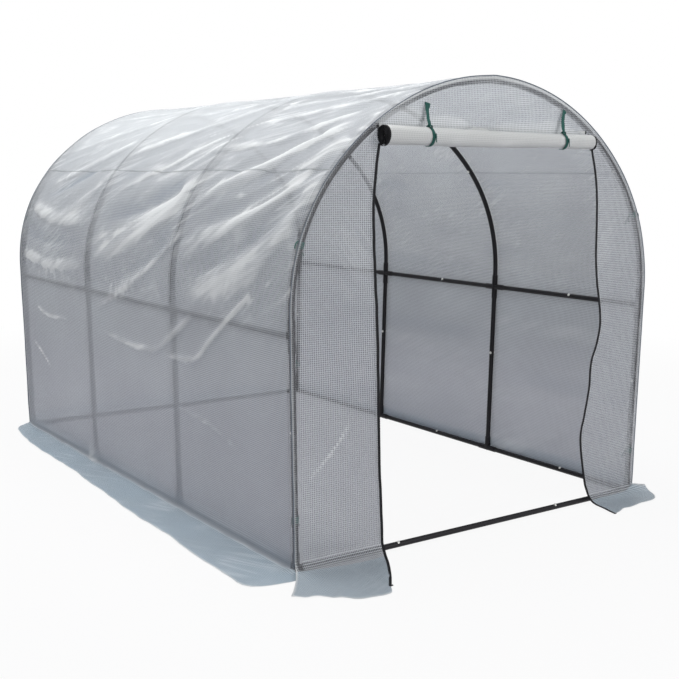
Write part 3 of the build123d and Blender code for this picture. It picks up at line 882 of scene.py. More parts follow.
def makeSide(name, sideSign):
    top = distanceAt(roofSheet["seam"], coverOffset)
    bendTop = footDistance - sideSheet["bendRadius"]
    rows = int(2 * hoop["wallPlace"] / sideSheet["step"])
    columns = int((bendTop - top) / sideSheet["step"])
    along = np.linspace(-hoop["wallPlace"], hoop["wallPlace"], rows)
    down = np.linspace(top, bendTop, columns)
    y, s = np.meshgrid(along, down, indexing="ij")
    wall, tone = coverPoints(y, s, sideSign)
    wallUV = np.stack([y, s], -1)
    edge = smoothPath(sideSheet["edge" if sideSign < 0 else "rightEdge"], 6)
    share = np.linspace(0, 1, rows)
    lengths = np.concatenate([[0], np.cumsum(np.linalg.norm(np.diff(edge, axis=0), axis=1))])
    # Skirt rows start at the wall's foot and fan out to the loose edge
    places = np.interp(share, [0, 0.035, 0.965, 1], [0, 0.10, 0.93, 1]) * lengths[-1]
    edgeY = np.interp(places, lengths, edge[:, 0])
    edgeX = np.interp(places, lengths, edge[:, 1])
    wave = smoothField(edgeY, edgeY * 0, 0.16, 71) * sideSheet["edgeWave"]
    edgeX = edgeX + wave * np.clip((edgeX - 1.06) / 0.08, 0, 1)
    footX = np.abs(wall[:, -1, 0])
    footY = wall[:, -1, 1]
    footZ = wall[:, -1, 2]
    skirt = []
    for k in range(1, sideSheet["skirtSteps"] + 1):
        t = k / sideSheet["skirtSteps"]
        out = footX + (edgeX - footX) * t
        along2 = footY + (edgeY - footY) * t
        reach = np.maximum(out - footX, 0)
        settle = np.exp(-(reach / sideSheet["bendRadius"]) * 1.4)
        ripples = (smoothField(along2, out, 0.11, 72) + 1) * 0.5 * sideSheet["ripple"]
        ripples += np.clip(smoothField(along2, out * 0.35, 0.05, 73), 0, 1) * 0.004 * np.exp(-reach / 0.06)
        ripples = ripples + np.clip(smoothField(along2, out * 0, 0.21, 74) - 0.1, 0, 1) * 0.008 * t
        height = hoop["floorGap"] + ripples + (footZ - hoop["floorGap"]) * settle
        skirt.append(np.stack([out * sideSign, along2, height], -1))
    skirt = np.stack(skirt, 1)
    points = np.concatenate([wall, skirt], 1)
    skirtUV = np.stack([skirt[..., 1], footDistance + np.abs(skirt[..., 0]) - footX[:, None]], -1)
    flat = np.concatenate([wallUV, skirtUV], 1) * [1, -sideSign]
    skirtTone = np.clip(smoothField(skirt[..., 1], skirt[..., 0], 0.09, 75), 0, 1) * 0.25
    skirtTone[:, -1] = 0.7
    skirtTone[:, 0] = 0.35
    toneAll = np.concatenate([tone, skirtTone], 1)
    if sideSign > 0:
        points = points[:, ::-1]
        flat = flat[:, ::-1]
        toneAll = toneAll[:, ::-1]
    columnsAll = points.shape[1] - 1
    slots = np.zeros((rows - 1, columnsAll), int)
    skirtCells = slice(columns, columnsAll) if sideSign < 0 else slice(0, columnsAll - columns)
    slots[:, skirtCells] = 1
    piece = sheetObject(name, points, flat, sideSheet["thickness"], [coverSheet, skirtSheet], toneAll, slots)
    flatSize = (2 * (hoop["wallPlace"] + sideSheet["turnIn"]), footDistance - top + sideSheet["skirtWidth"])
    return piece, flatSize, gridArea(points)


# Front wall: two panels beside the door, each running out on the ground as a flap

frontPanel = {
    "step": 0.0115,
    "thickness": 0.0009,
    "top": 1.764,
    "bend": 0.05,
    "skirtSteps": 20,
    "flat": (0.62, 2.15),
    "leftCrease": {"path": [(0.955, 0.37), (0.88, 0.43), (0.79, 0.52), (0.74, 0.60)], "width": 0.011,
                   "tone": 0.55},
    # Door edges: (height, distance from the middle), read up the wall
    "leftDoor": [(0.0, 0.572), (0.12, 0.580), (0.35, 0.595), (0.745, 0.612), (1.05, 0.628), (1.36, 0.642),
                 (1.50, 0.639), (1.66, 0.622), (1.764, 0.60)],
    "rightDoor": [(0.0, 0.700), (0.06, 0.672), (0.127, 0.645), (0.33, 0.603), (0.45, 0.622), (0.58, 0.645),
                  (0.695, 0.650), (0.80, 0.681), (0.89, 0.693), (1.02, 0.674), (1.15, 0.655), (1.49, 0.646),
                  (1.69, 0.602), (1.764, 0.585)],
    # Ground edges of the flaps: (distance from the middle, place along the tunnel), from outside to the door
    "leftEdge": [(1.150, -1.752), (1.112, -1.785), (1.066, -1.795), (1.01, -1.845), (0.959, -1.893),
                 (0.885, -1.920), (0.818, -1.927), (0.771, -1.862)],
    "rightEdge": [(1.090, -1.562), (1.062, -1.645), (1.010, -1.685), (0.90, -1.700), (0.80, -1.716),
                  (0.72, -1.730), (0.655, -1.742)],
}


def doorEdgeAt(which, height):
    path = np.array(frontPanel[which])
    fine = smoothPath(path, 8)
    return np.interp(height, fine[:, 0], fine[:, 1])


def panelRelief(x, z, seed):
    slack = smoothField(x, z, 0.42, seed) * 0.006
    pull = crumple(x * 1.6 + z * 0.9, z * 0.8 - x * 0.5, 0.16, seed + 1) * 0.0016
    lines = smoothField(x * 0.3, z, 0.055, seed + 2) * 0.0012
    low = np.clip(1 - z / 0.7, 0, 1) * smoothField(x, z * 0.5, 0.12, seed + 3) * 0.005
    return slack + pull + lines + low


def makePanel(name, sideSign, doorName, edgeName, seed):
    top = frontPanel["top"]
    bend = frontPanel["bend"]
    rows = int((top - bend) / frontPanel["step"])
    z = np.linspace(top, bend, rows)
    outer = halfWidthAt(z, coverOffset)
    inner = doorEdgeAt(doorName, z)
    width = float(np.mean(outer - inner))
    columns = max(int(width / frontPanel["step"]), 24)
    share = np.linspace(0, 1, columns)
    x = outer[:, None] + (inner - outer)[:, None] * share[None, :]
    zz = np.repeat(z[:, None], columns, 1)
    relief = panelRelief(x, zz, seed)
    tied = np.clip(share / 0.12, 0, 1)[None, :] * np.clip((top - zz) / 0.08 + 0.25, 0, 1)
    relief = relief * tied
    # The door edge hangs free and bows forward a little
    free = np.clip((share - 0.55) / 0.45, 0, 1)[None, :] ** 2
    bow = free * (0.006 + 0.010 * np.sin(np.clip((top - zz) / top, 0, 1) * math.pi))
    y = -hoop["wallPlace"] - np.maximum(relief, -0.001) - bow
    wall = np.stack([x * sideSign, y, zz], -1)
    edge = smoothPath(frontPanel[edgeName], 6)
    lengths = np.concatenate([[0], np.cumsum(np.linalg.norm(np.diff(edge, axis=0), axis=1))])
    places = share * lengths[-1]
    edgeX = np.interp(places, lengths, edge[:, 0])
    edgeY = np.interp(places, lengths, edge[:, 1])
    edgeY = edgeY + smoothField(edgeX, edgeX * 0, 0.045, seed + 4) * 0.007
    footX = x[-1]
    footY = y[-1]
    skirt = []
    steps = frontPanel["skirtSteps"]
    for k in range(1, steps + 1):
        t = k / steps
        ease = t ** 1.25
        out = footX + (edgeX - footX) * ease
        forward = footY + (edgeY - footY) * t
        reach = np.abs(forward - footY)
        fall = np.exp(-reach / 0.030)
        ripples = (smoothField(out, forward, 0.085, seed + 5) + 1) * 0.5 * 0.007 * min(1, t * 3)
        ripples = ripples + np.clip(smoothField(out, forward * 0.3, 0.05, seed + 6), 0, 1) * 0.006 * t
        height = hoop["floorGap"] + (bend - hoop["floorGap"]) * fall + ripples
        skirt.append(np.stack([out * sideSign, forward, height], -1))
    skirt = np.stack(skirt, 0)
    points = np.concatenate([wall, skirt], 0)
    wallUV = np.stack([x, top - zz], -1)
    drop = top - bend + np.linspace(0, 1, steps + 1)[1:, None] * (footY - edgeY)[None, :]
    skirtUV = np.stack([np.abs(skirt[..., 0]), drop], -1)
    flat = np.concatenate([wallUV, skirtUV], 0)
    tone = np.clip(crumple(points[..., 0] * 1.4, points[..., 2], 0.12, seed + 7) - 0.35, 0, 1) * 0.35
    if sideSign < 0:
        # A crease line painted lighter with no relief: partly real whitening, partly painted highlight
        crease = frontPanel["leftCrease"]
        shape = creaseShape(np.abs(points[..., 0]), points[..., 2], crease["path"], crease["width"])
        tone += shape * crease["tone"]
    tone[:, 0] = 0.7
    tone[:, -1] = 0.5
    tone[-1] = 0.6
    slots = np.zeros((points.shape[0] - 1, columns - 1), int)
    slots[rows + 2:] = 1
    if sideSign > 0:
        points, flat, tone, slots = points[:, ::-1], flat[:, ::-1], tone[:, ::-1], slots[:, ::-1]
    piece = sheetObject(name, points, flat, frontPanel["thickness"], [frontSheet, flapSheet], tone, slots)
    return piece, frontPanel["flat"], gridArea(points), np.concatenate([wall[:, -1], skirt[:, -1]])


# Gable and rear wall are fans from a level line up to the hoop's outline

gableSheet = {"bottom": 1.752, "columns": 120, "rows": 24, "thickness": 0.0009, "flat": (1.38, 0.25)}


def makeGable():
    low = gableSheet["bottom"]
    reach = distanceAt(low, coverOffset)
    share = np.linspace(-1, 1, gableSheet["columns"])
    lift = np.linspace(0, 1, gableSheet["rows"])
    arcX, arcZ, _, _ = outline(share * reach, coverOffset)
    baseX = share * halfWidthAt(low, coverOffset)
    x = baseX[:, None] + (arcX - baseX)[:, None] * lift[None, :]
    z = low + (arcZ - low)[:, None] * lift[None, :]
    inner = np.clip((1 - lift) / 0.15, 0, 1)[None, :] * np.clip((1 - np.abs(share)) / 0.08, 0, 1)[:, None]
    # Level tucks just above the roll, and a slack field
    tucks = np.sin((z - low) / 0.021 + x * 1.5) * np.exp(-(z - low - 0.05) / 0.045) * 0.0022
    relief = (tucks + smoothField(x, z, 0.21, 91) * 0.005 + crumple(x, z, 0.1, 92) * 0.0012) * inner
    y = -hoop["wallPlace"] - np.maximum(relief, -0.0015)
    points = np.stack([x, y, z], -1)
    # Raised places painted lighter, partly real whitening and partly painted highlight
    tone = np.clip(relief / 0.004, 0, 1) * 0.5
    tone[:, -2:] = 0.8
    flat = np.stack([x, z], -1)
    piece = sheetObject("gable_sheet", points, flat, gableSheet["thickness"], [gableFilm], tone)
    return piece, gableSheet["flat"], gridArea(points)


rearSheet = {
    "columns": 220, "rows": 130, "thickness": 0.0009, "bend": 0.04,
    "skirtSteps": 16, "reach": 0.36, "taper": 0.14, "flat": (2.36, 2.36),
}


def makeRear():
    share = np.linspace(-1, 1, rearSheet["columns"])
    lift = np.linspace(0, 1, rearSheet["rows"])
    arcX, arcZ, _, _ = outline(share * footDistance, coverOffset)
    bend = rearSheet["bend"]
    baseX = share * halfWidthAt(bend, coverOffset)
    arcZ = np.maximum(arcZ, bend)
    x = baseX[:, None] + (arcX - baseX)[:, None] * lift[None, :]
    z = bend + (arcZ - bend)[:, None] * lift[None, :]
    relief = panelRelief(x, z, 131) * 1.3 + crumple(x + z, z - x * 0.4, 0.3, 132) * 0.002
    inner = np.clip((1 - lift) / 0.06, 0, 1)[None, :] * np.clip((1 - np.abs(share)) / 0.05, 0, 1)[:, None]
    y = hoop["wallPlace"] + np.maximum(relief * inner, -0.001)
    wall = np.stack([x, y, z], -1)
    flatWall = np.stack([x, z], -1)
    tone = np.clip(crumple(x + z * 0.6, z, 0.17, 133) - 0.4, 0, 1) * 0.35
    tone[:, -2:] = 0.7
    skirt, skirtUV = [], []
    for k in range(rearSheet["skirtSteps"], 0, -1):
        t = k / rearSheet["skirtSteps"]
        corner = 1 - 0.25 * np.clip((np.abs(share) - 0.82) / 0.18, 0, 1) ** 2
        out = baseX * (1 - rearSheet["taper"] * t)
        back = wall[:, 0, 1] + rearSheet["reach"] * t * corner
        back = back + smoothField(out, out * 0, 0.12, 134) * 0.008 * t
        fall = np.exp(-(back - wall[:, 0, 1]) / 0.028)
        ripples = (smoothField(out, back, 0.1, 135) + 1) * 0.5 * 0.007 * min(1, t * 3)
        skirt.append(np.stack([out, back, hoop["floorGap"] + (bend - hoop["floorGap"]) * fall + ripples], -1))
        skirtUV.append(np.stack([out, bend - (back - wall[:, 0, 1])], -1))
    points = np.concatenate([np.stack(skirt, 1), wall], 1)
    flat = np.concatenate([np.stack(skirtUV, 1), flatWall], 1)
    toneAll = np.concatenate([np.full((len(share), rearSheet["skirtSteps"]), 0.15), tone], 1)
    slots = np.zeros((len(share) - 1, points.shape[1] - 1), int)
    slots[:, :rearSheet["skirtSteps"] - 2] = 1
    points, flat, toneAll, slots = points[::-1], flat[::-1], toneAll[::-1], slots[::-1]
    piece = sheetObject("rear_wall_sheet", points, flat, rearSheet["thickness"], [rearFilm, skirtSheet],
                        toneAll, slots)
    return piece, rearSheet["flat"], gridArea(points)


roofPiece, roofFlat, roofArea = makeRoof()
print("stage: roof sheet", len(roofPiece.data.polygons))
leftPiece, leftFlat, leftArea = makeSide("left_side_sheet", -1.0)
rightPiece, rightFlat, rightArea = makeSide("right_side_sheet", 1.0)
print("stage: side sheets", len(leftPiece.data.polygons))
leftPanel, leftPanelFlat, leftPanelArea, leftDoorLine = makePanel(
    "front_left_sheet", -1.0, "leftDoor", "leftEdge", 151)
rightPanel, rightPanelFlat, rightPanelArea, rightDoorLine = makePanel(
    "front_right_sheet", 1.0, "rightDoor", "rightEdge", 171)
gablePiece, gableFlat, gableArea = makeGable()
rearPiece, rearFlat, rearArea = makeRear()
print("stage: end walls", len(rearPiece.data.polygons))


# Rolled door: one long sheet wound up, with dark taped ends

doorRoll = {
    "left": -0.622, "right": 0.570, "height": 1.725,
    "leftRadius": 0.0395, "rightRadius": 0.0335, "coreRadius": 0.006,
    "turns": 11.5, "stepsPerTurn": 34, "slices": 44, "thickness": 0.0011,
    "tapeWidth": 0.009, "squash": 0.94,
}


def rollRadiusAt(x):
    share = (x - doorRoll["left"]) / (doorRoll["right"] - doorRoll["left"])
    return doorRoll["leftRadius"] + (doorRoll["rightRadius"] - doorRoll["leftRadius"]) * share


def rollCenter(x):
    return -hoop["wallPlace"] - 0.002 - rollRadiusAt(x)


def makeRoll():
    count = int(doorRoll["turns"] * doorRoll["stepsPerTurn"])
    turn = np.linspace(0, doorRoll["turns"] * 2 * math.pi, count)
    tape = doorRoll["tapeWidth"]
    x = np.concatenate([[doorRoll["left"], doorRoll["left"] + tape],
                        np.linspace(doorRoll["left"] + tape + 0.012, doorRoll["right"] - tape - 0.012,
                                    doorRoll["slices"]),
                        [doorRoll["right"] - tape, doorRoll["right"]]])
    xx, tt = np.meshgrid(x, turn, indexing="ij")
    share = tt / turn[-1]
    outer = rollRadiusAt(xx)
    radius = doorRoll["coreRadius"] + (outer - doorRoll["coreRadius"]) * share ** 0.93
    lump = smoothField(xx * 0.6, tt * 0.02, 0.11, 201) * 0.0022 + smoothField(xx, tt * 0.012, 0.33, 202) * 0.003
    radius = radius * (1 + lump / outer * np.clip(share * 2 - 0.6, 0, 1))
    # The sheet leaves the roll at its back and runs up to the gable's hem
    angle = tt - turn[-1] + math.pi * 0.5
    y = rollCenter(xx) + radius * np.sin(angle)
    z = doorRoll["height"] + radius * np.cos(angle) * doorRoll["squash"]
    z = z + smoothField(xx, xx * 0, 0.4, 203) * 0.002
    drift = smoothField(tt * 0.05, tt * 0, 0.3, 204) * 0.0015
    ends = np.where(xx < 0, -1.0, 1.0) * np.clip((np.abs(xx) - 0.55) / 0.05, 0, 1)
    wall = np.stack([xx + drift * ends, y, z], -1)
    # Last stretch, flat against the gable
    up = np.linspace(0.012, 0.052, 6)
    lapY = np.full_like(up, -hoop["wallPlace"] - 0.0015)
    lap = np.stack([np.repeat(x[:, None], len(up), 1),
                    np.repeat(lapY[None, :], len(x), 0),
                    doorRoll["height"] + np.repeat(up[None, :], len(x), 0)], -1)
    points = np.concatenate([wall, lap], 1)
    lengths = np.cumsum(np.linalg.norm(np.diff(points[3], axis=0), axis=1))
    v = np.concatenate([[0], lengths])
    flat = np.stack([np.repeat(x[:, None], len(v), 1), np.repeat(v[None, :], len(x), 0)], -1)
    tone = np.clip(smoothField(flat[..., 0] * 0.3, flat[..., 1] * 6, 0.2, 205), 0, 1) * 0.3
    slots = np.zeros((len(x) - 1, points.shape[1] - 1), int)
    slots[0] = 1
    slots[-1] = 1
    piece = sheetObject("rolled_door", points, flat, doorRoll["thickness"], [rollSheet, zipBlack], tone, slots)
    return piece, (doorRoll["right"] - doorRoll["left"], float(v[-1])), gridArea(points)


rollPiece, rollFlat, rollArea = makeRoll()
print("stage: door roll", len(rollPiece.data.polygons))


# Ties: green cloth strips round the roll and round the front hoop

rollTies = {
    "places": [(-0.372, -0.398), (0.418, 0.372)],
    "top": 1.862, "width": 0.026, "thickness": 0.0022, "clear": 0.0025, "tail": 0.035,
    "flatten": 0.95, "knotRadius": 0.007, "knotThickness": 0.0032,
}


def tieStrip(name, path, side, thickness, widths=0.009):
    widths = [widths] * len(path) if isinstance(widths, float) else widths
    return sweptStrip(name, path, [side] * len(path), widths, thickness, [tieGreen])


def makeRollTie(topX, lowX, seed):
    rng = np.random.default_rng(seed)
    path, sides, widths = [], [], []
    wallY = -hoop["wallPlace"] - 0.0045
    radius = rollRadiusAt(lowX) + rollTies["clear"]
    centerY, centerZ = rollCenter(lowX), doorRoll["height"]
    knotZ = centerZ + radius * doorRoll["squash"] + 0.008
    # Down the gable, then round the roll
    for t in np.linspace(0, 1, 14):
        z = rollTies["top"] + (knotZ - rollTies["top"]) * t
        x = topX + (lowX - topX) * t
        y = wallY - 0.003 + (centerY - wallY - 0.010) * t ** 1.6
        path.append((x + rng.uniform(-1, 1) * 0.0010, y, z))
        widths.append(rollTies["width"] * (1.0 - 0.45 * t) * (1 + rng.uniform(-0.08, 0.08)))
        sides.append((1, 0.30 * math.sin(t * 5 + seed), 0.1 * math.cos(t * 4)))
    for t in np.linspace(0.0, 1, 30):
        wrap = math.radians(-2 + 200 * t)
        y = centerY - radius * math.sin(wrap)
        z = centerZ + radius * rollTies["flatten"] * math.cos(wrap)
        path.append((lowX + 0.005 * t, y, z))
        narrow = 0.50 + 0.10 * math.sin(t * math.pi)
        widths.append(rollTies["width"] * narrow * (1 + rng.uniform(-0.06, 0.06)))
        sides.append((1, 0.0, 0.05 * math.sin(t * 6)))
    strap = sweptStrip("strap", path, sides, widths, rollTies["thickness"], [tieGreen])
    # A loose bow at the knot, and a short tail
    knotPath = []
    knotY = centerY - radius * 0.45
    knotZ = centerZ + radius * rollTies["flatten"]
    for t in np.linspace(0, 1, 16):
        turn = t * 2 * math.pi * 1.25
        knotPath.append((lowX + 0.001 + rollTies["knotRadius"] * math.cos(turn),
                         knotY - 0.003 * math.sin(turn * 0.5), knotZ + 0.006 * math.sin(turn) - 0.002 * t))
    knot = tieStrip("knot", knotPath, (0.2, 1, 0.1), rollTies["knotThickness"])
    tailPath = [(lowX + 0.008 + 0.004 * t, centerY - radius - 0.0025 - 0.001 * math.sin(t * 3),
                 centerZ + 0.012 - rollTies["tail"] * t) for t in np.linspace(0, 1, 8)]
    tail = tieStrip("tail", tailPath, (1, 0.3, 0), 0.0018, [0.009] * 4 + [0.006] * 4)
    return [strap, knot, tail]


tiePieces = []
for number, (topX, lowX) in enumerate(rollTies["places"]):
    tiePieces += makeRollTie(topX, lowX, 301 + number)
rollTiePiece = joinPieces("roll_ties_cloth", tiePieces)

coverTies = {
    "radius": 0.0136, "thickness": 0.0018, "width": 0.020, "turns": 1.6, "tail": 0.06, "poke": 0.010,
    "leftAngle": math.radians(18.0), "rightAngle": math.radians(24.5), "legHeight": 0.22,
}


def makeHoopTie(center, axis, sideSign, frontSign, seed):
    # Wound round the tube, crossed in front and left with two short tails
    rng = np.random.default_rng(seed)
    center = Vector(center)
    axis = Vector(axis).normalized()
    outward = Vector((sideSign, 0, 0))
    outward = (outward - axis * outward.dot(axis)).normalized()
    forward = axis.cross(outward)
    if forward.y * frontSign > 0:
        forward = -forward
    path, widths = [], []
    for t in np.linspace(0, 1, 40):
        turn = t * 2 * math.pi * coverTies["turns"]
        radius = coverTies["radius"] + 0.0014 * t
        point = center + (outward * math.cos(turn) + forward * math.sin(turn)) * radius
        path.append(tuple(point + axis * (-0.010 + 0.020 * t)))
        narrow = 0.62 + 0.15 * math.sin(t * 9)
        widths.append(coverTies["width"] * narrow * (1 + rng.uniform(-0.05, 0.05)))
    strips = [tieStrip("strap", path, tuple(axis), coverTies["thickness"], widths)]
    for lean in (-0.45, 0.55):
        tailPath = []
        for t in np.linspace(0, 1, 9):
            point = center - forward * (coverTies["radius"] + 0.003 + 0.004 * math.sin(t * 3))
            point += outward * (0.004 - 0.030 * t * (lean + 0.6))
            tailPath.append(tuple(point + Vector((0, 0, -1)) * coverTies["tail"] * t * 0.6))
        strips.append(tieStrip("tail", tailPath, tuple(outward), coverTies["thickness"]))
    # On the upper front ties one end pokes out past the hem
    if frontSign > 0 and center.z > 1:
        pokePath = []
        for t in np.linspace(0, 1, 9):
            point = center + outward * (0.0185 + coverTies["poke"] * math.sin(t * 2.4))
            pokePath.append(tuple(point + forward * (0.006 + 0.004 * t) + axis * (0.012 - 0.034 * t)))
        strips.append(tieStrip("poke", pokePath, tuple(axis.cross(outward)), 0.002))
    return strips


hoopTiePieces = []
for frontSign, place in ((1, hoop["places"][0]), (-1, hoop["places"][-1])):
    for sideSign, angle in ((-1, coverTies["leftAngle"]), (1, coverTies["rightAngle"])):
        center = (sideSign * (hoop["sideX"] + hoop["sideRadius"] * math.cos(angle)), place,
                  hoop["sideZ"] + hoop["sideRadius"] * math.sin(angle))
        axis = (-sideSign * math.sin(angle), 0, math.cos(angle))
        seed = sideSign + frontSign * 3
        hoopTiePieces += makeHoopTie(center, axis, sideSign, frontSign, 401 + seed)
        rise = coverTies["legHeight"] - hoop["footHeight"]
        legX = hoop["baseHalf"] + rise * math.tan(hoop["lean"])
        legAxis = (sideSign * math.sin(hoop["lean"]), 0, math.cos(hoop["lean"]))
        center = (sideSign * legX, place, coverTies["legHeight"])
        hoopTiePieces += makeHoopTie(center, legAxis, sideSign, frontSign, 501 + seed)
coverTiePiece = joinPieces("cover_ties_cloth", hoopTiePieces)
print("stage: ties")


# Zips: black tape, coil teeth and stitches that follow the door edges

zipDetail = {
    "top": 1.70, "tapeWidth": 0.010, "tapeThickness": 0.0014,
    "toothPitch": 0.0034, "toothLength": 0.0062, "toothRadius": 0.00168, "shortWidth": 0.009,
    "stitchTop": 1.68, "stitchLow": 0.06, "stitchPitch": 0.0095, "stitchLength": 0.0055,
    "stitchRadius": 0.0016, "stitchInset": 0.0125,
}


def newGeometryTree(name, inputs):
    tree = bpy.data.node_groups.new(name, "GeometryNodeTree")
    tree.interface.new_socket("Geometry", in_out="INPUT", socket_type="NodeSocketGeometry")
    for label, kind in inputs.items():
        tree.interface.new_socket(label, in_out="INPUT", socket_type="NodeSocket" + kind)
    tree.interface.new_socket("Geometry", in_out="OUTPUT", socket_type="NodeSocketGeometry")
    return tree, tree.nodes.new("NodeGroupInput").outputs, tree.nodes.new("NodeGroupOutput")


def endTree(tree, start, end, instances, flatFaces=False):
    mesh = addNode(tree, "GeometryNodeRealizeInstances", {0: instances}).outputs[0]
    if flatFaces:
        mesh = addNode(tree, "GeometryNodeSetShadeSmooth", {0: mesh, "Shade Smooth": False}).outputs[0]
    paint = addNode(tree, "GeometryNodeSetMaterial", {"Geometry": mesh, "Material": start["Material"]})
    setInputs(tree, end, {0: paint.outputs[0]})
    return tree


def bakeTree(name, source, tree, values, material):
    modifier = source.modifiers.new("build", "NODES")
    modifier.node_group = tree
    for item in tree.interface.items_tree:
        if item.item_type == "SOCKET" and item.in_out == "INPUT" and item.name in values:
            modifier[item.identifier] = values[item.name]
        elif item.item_type == "SOCKET" and item.name == "Material":
            modifier[item.identifier] = material
    graph = bpy.context.evaluated_depsgraph_get()
    graph.update()
    mesh = bpy.data.meshes.new_from_object(source.evaluated_get(graph))
    mesh.name = name
    bpy.data.objects.remove(source)
    mesh.materials.clear()
    return addObject(name, mesh, [material])


def pointObject(name, points, edges=(), facings=None):
    mesh = bpy.data.meshes.new(name)
    mesh.from_pydata([tuple(p) for p in points], edges, [])
    if facings:
        attribute = mesh.attributes.new("facing", "FLOAT_VECTOR", "POINT")
        attribute.data.foreach_set("vector", np.array(facings, np.float32).reshape(-1))
    return addObject(name, mesh, [])


def pathObject(name, path):
    return pointObject(name, path, [(i, i + 1) for i in range(len(path) - 1)])


def buildPathRepeat():
    # A short rounded bar set across or along a path at an even pitch
    tree, start, end = newGeometryTree("pathRepeat", {
        "Pitch": "Float", "Length": "Float", "Radius": "Float", "Turn": "Vector", "Material": "Material"})
    curve = addNode(tree, "GeometryNodeMeshToCurve", {0: start["Geometry"]})
    points = addNode(tree, "GeometryNodeCurveToPoints", {
        "Curve": curve.outputs[0], "Length": start["Pitch"]}, mode="LENGTH").outputs
    bar = addNode(tree, "GeometryNodeMeshCylinder", {
        "Vertices": 6, "Depth": start["Length"], "Radius": start["Radius"]})
    place = addNode(tree, "GeometryNodeInstanceOnPoints", {
        "Points": points["Points"], "Instance": bar.outputs["Mesh"], "Rotation": points["Rotation"]})
    turn = addNode(tree, "GeometryNodeRotateInstances", {
        "Instances": place.outputs[0], "Rotation": start["Turn"]})
    return endTree(tree, start, end, turn.outputs[0], flatFaces=True)


pathRepeat = buildPathRepeat()


def makeZip(doorLine, sideSign):
    line = doorLine[doorLine[:, 2] < zipDetail["top"]]
    curl = line[-1] + np.array([-sideSign * 0.004, -0.006, 0.004])
    line = np.concatenate([line, [curl]])
    count = len(line)
    centre = line + np.array([sideSign * 0.003, -0.0018, 0.0006])
    tape = sweptStrip("tape", centre, [(sideSign, 0.02, 0)] * count, [zipDetail["tapeWidth"]] * count,
                      zipDetail["tapeThickness"], [zipBlack], rings=2)
    coilLine = line + np.array([-sideSign * 0.0015, -0.0015, 0.0006])
    coil = bakeTree("coil", pathObject("coilPath", coilLine), pathRepeat, {
        "Pitch": zipDetail["toothPitch"], "Length": zipDetail["toothLength"],
        "Radius": zipDetail["toothRadius"], "Turn": (math.pi / 2, 0.0, 0.0)}, zipBlack)
    # Short tape from the roll's end down to the top of the flap edge
    rollX = doorRoll["left"] + 0.004 if sideSign < 0 else doorRoll["right"] - 0.004
    radius = rollRadiusAt(rollX) + 0.002
    top = line[0] + np.array([sideSign * 0.002, -0.002, 0])
    shortPath = []
    for t in np.linspace(0, 1, 18):
        angle = math.radians(120 + 70 * min(1, t * 2.2))
        onRoll = np.array([rollX + sideSign * 0.002, rollCenter(rollX) - radius * math.sin(angle),
                           doorRoll["height"] + radius * math.cos(angle)])
        blend = np.clip((t - 0.35) / 0.65, 0, 1) ** 1.2
        shortPath.append(onRoll * (1 - blend) + top * blend)
    short = sweptStrip("short", shortPath, [(1, 0.3 * sideSign, 0)] * 18, [zipDetail["shortWidth"]] * 18,
                       0.002, [zipBlack], rings=2)
    return [tape, coil, short]


def makeStitches(name, doorLine, sideSign):
    line = doorLine[(doorLine[:, 2] < zipDetail["stitchTop"]) & (doorLine[:, 2] > zipDetail["stitchLow"])]
    row = line + np.array([sideSign * zipDetail["stitchInset"], -0.0008, 0.0])
    return bakeTree(name, pathObject("rowPath", row), pathRepeat, {
        "Pitch": zipDetail["stitchPitch"], "Length": zipDetail["stitchLength"],
        "Radius": zipDetail["stitchRadius"], "Turn": (0.0, 0.0, 0.0)}, stitchThread)


zipPiece = joinPieces("zip_tapes_and_coils", makeZip(leftDoorLine, -1) + makeZip(rightDoorLine, 1))
leftStitches = makeStitches("left_zip_stitches", leftDoorLine, -1)
rightStitches = makeStitches("right_zip_stitches", rightDoorLine, 1)
print("stage: zips", len(zipPiece.data.polygons))


# Bolts: one across every swaged joint, set out as points with a facing

boltDetail = {
    "head": {"Head Radius": 0.0062, "Head Height": 0.0036, "Washer Radius": 0.0075, "Washer Height": 0.0009,
             "Seed": 17},
    "lift": 0.016,
    "legJoint": 0.557,
    "railJoint": 0.430,
    "thresholdJoint": 0.490,
}


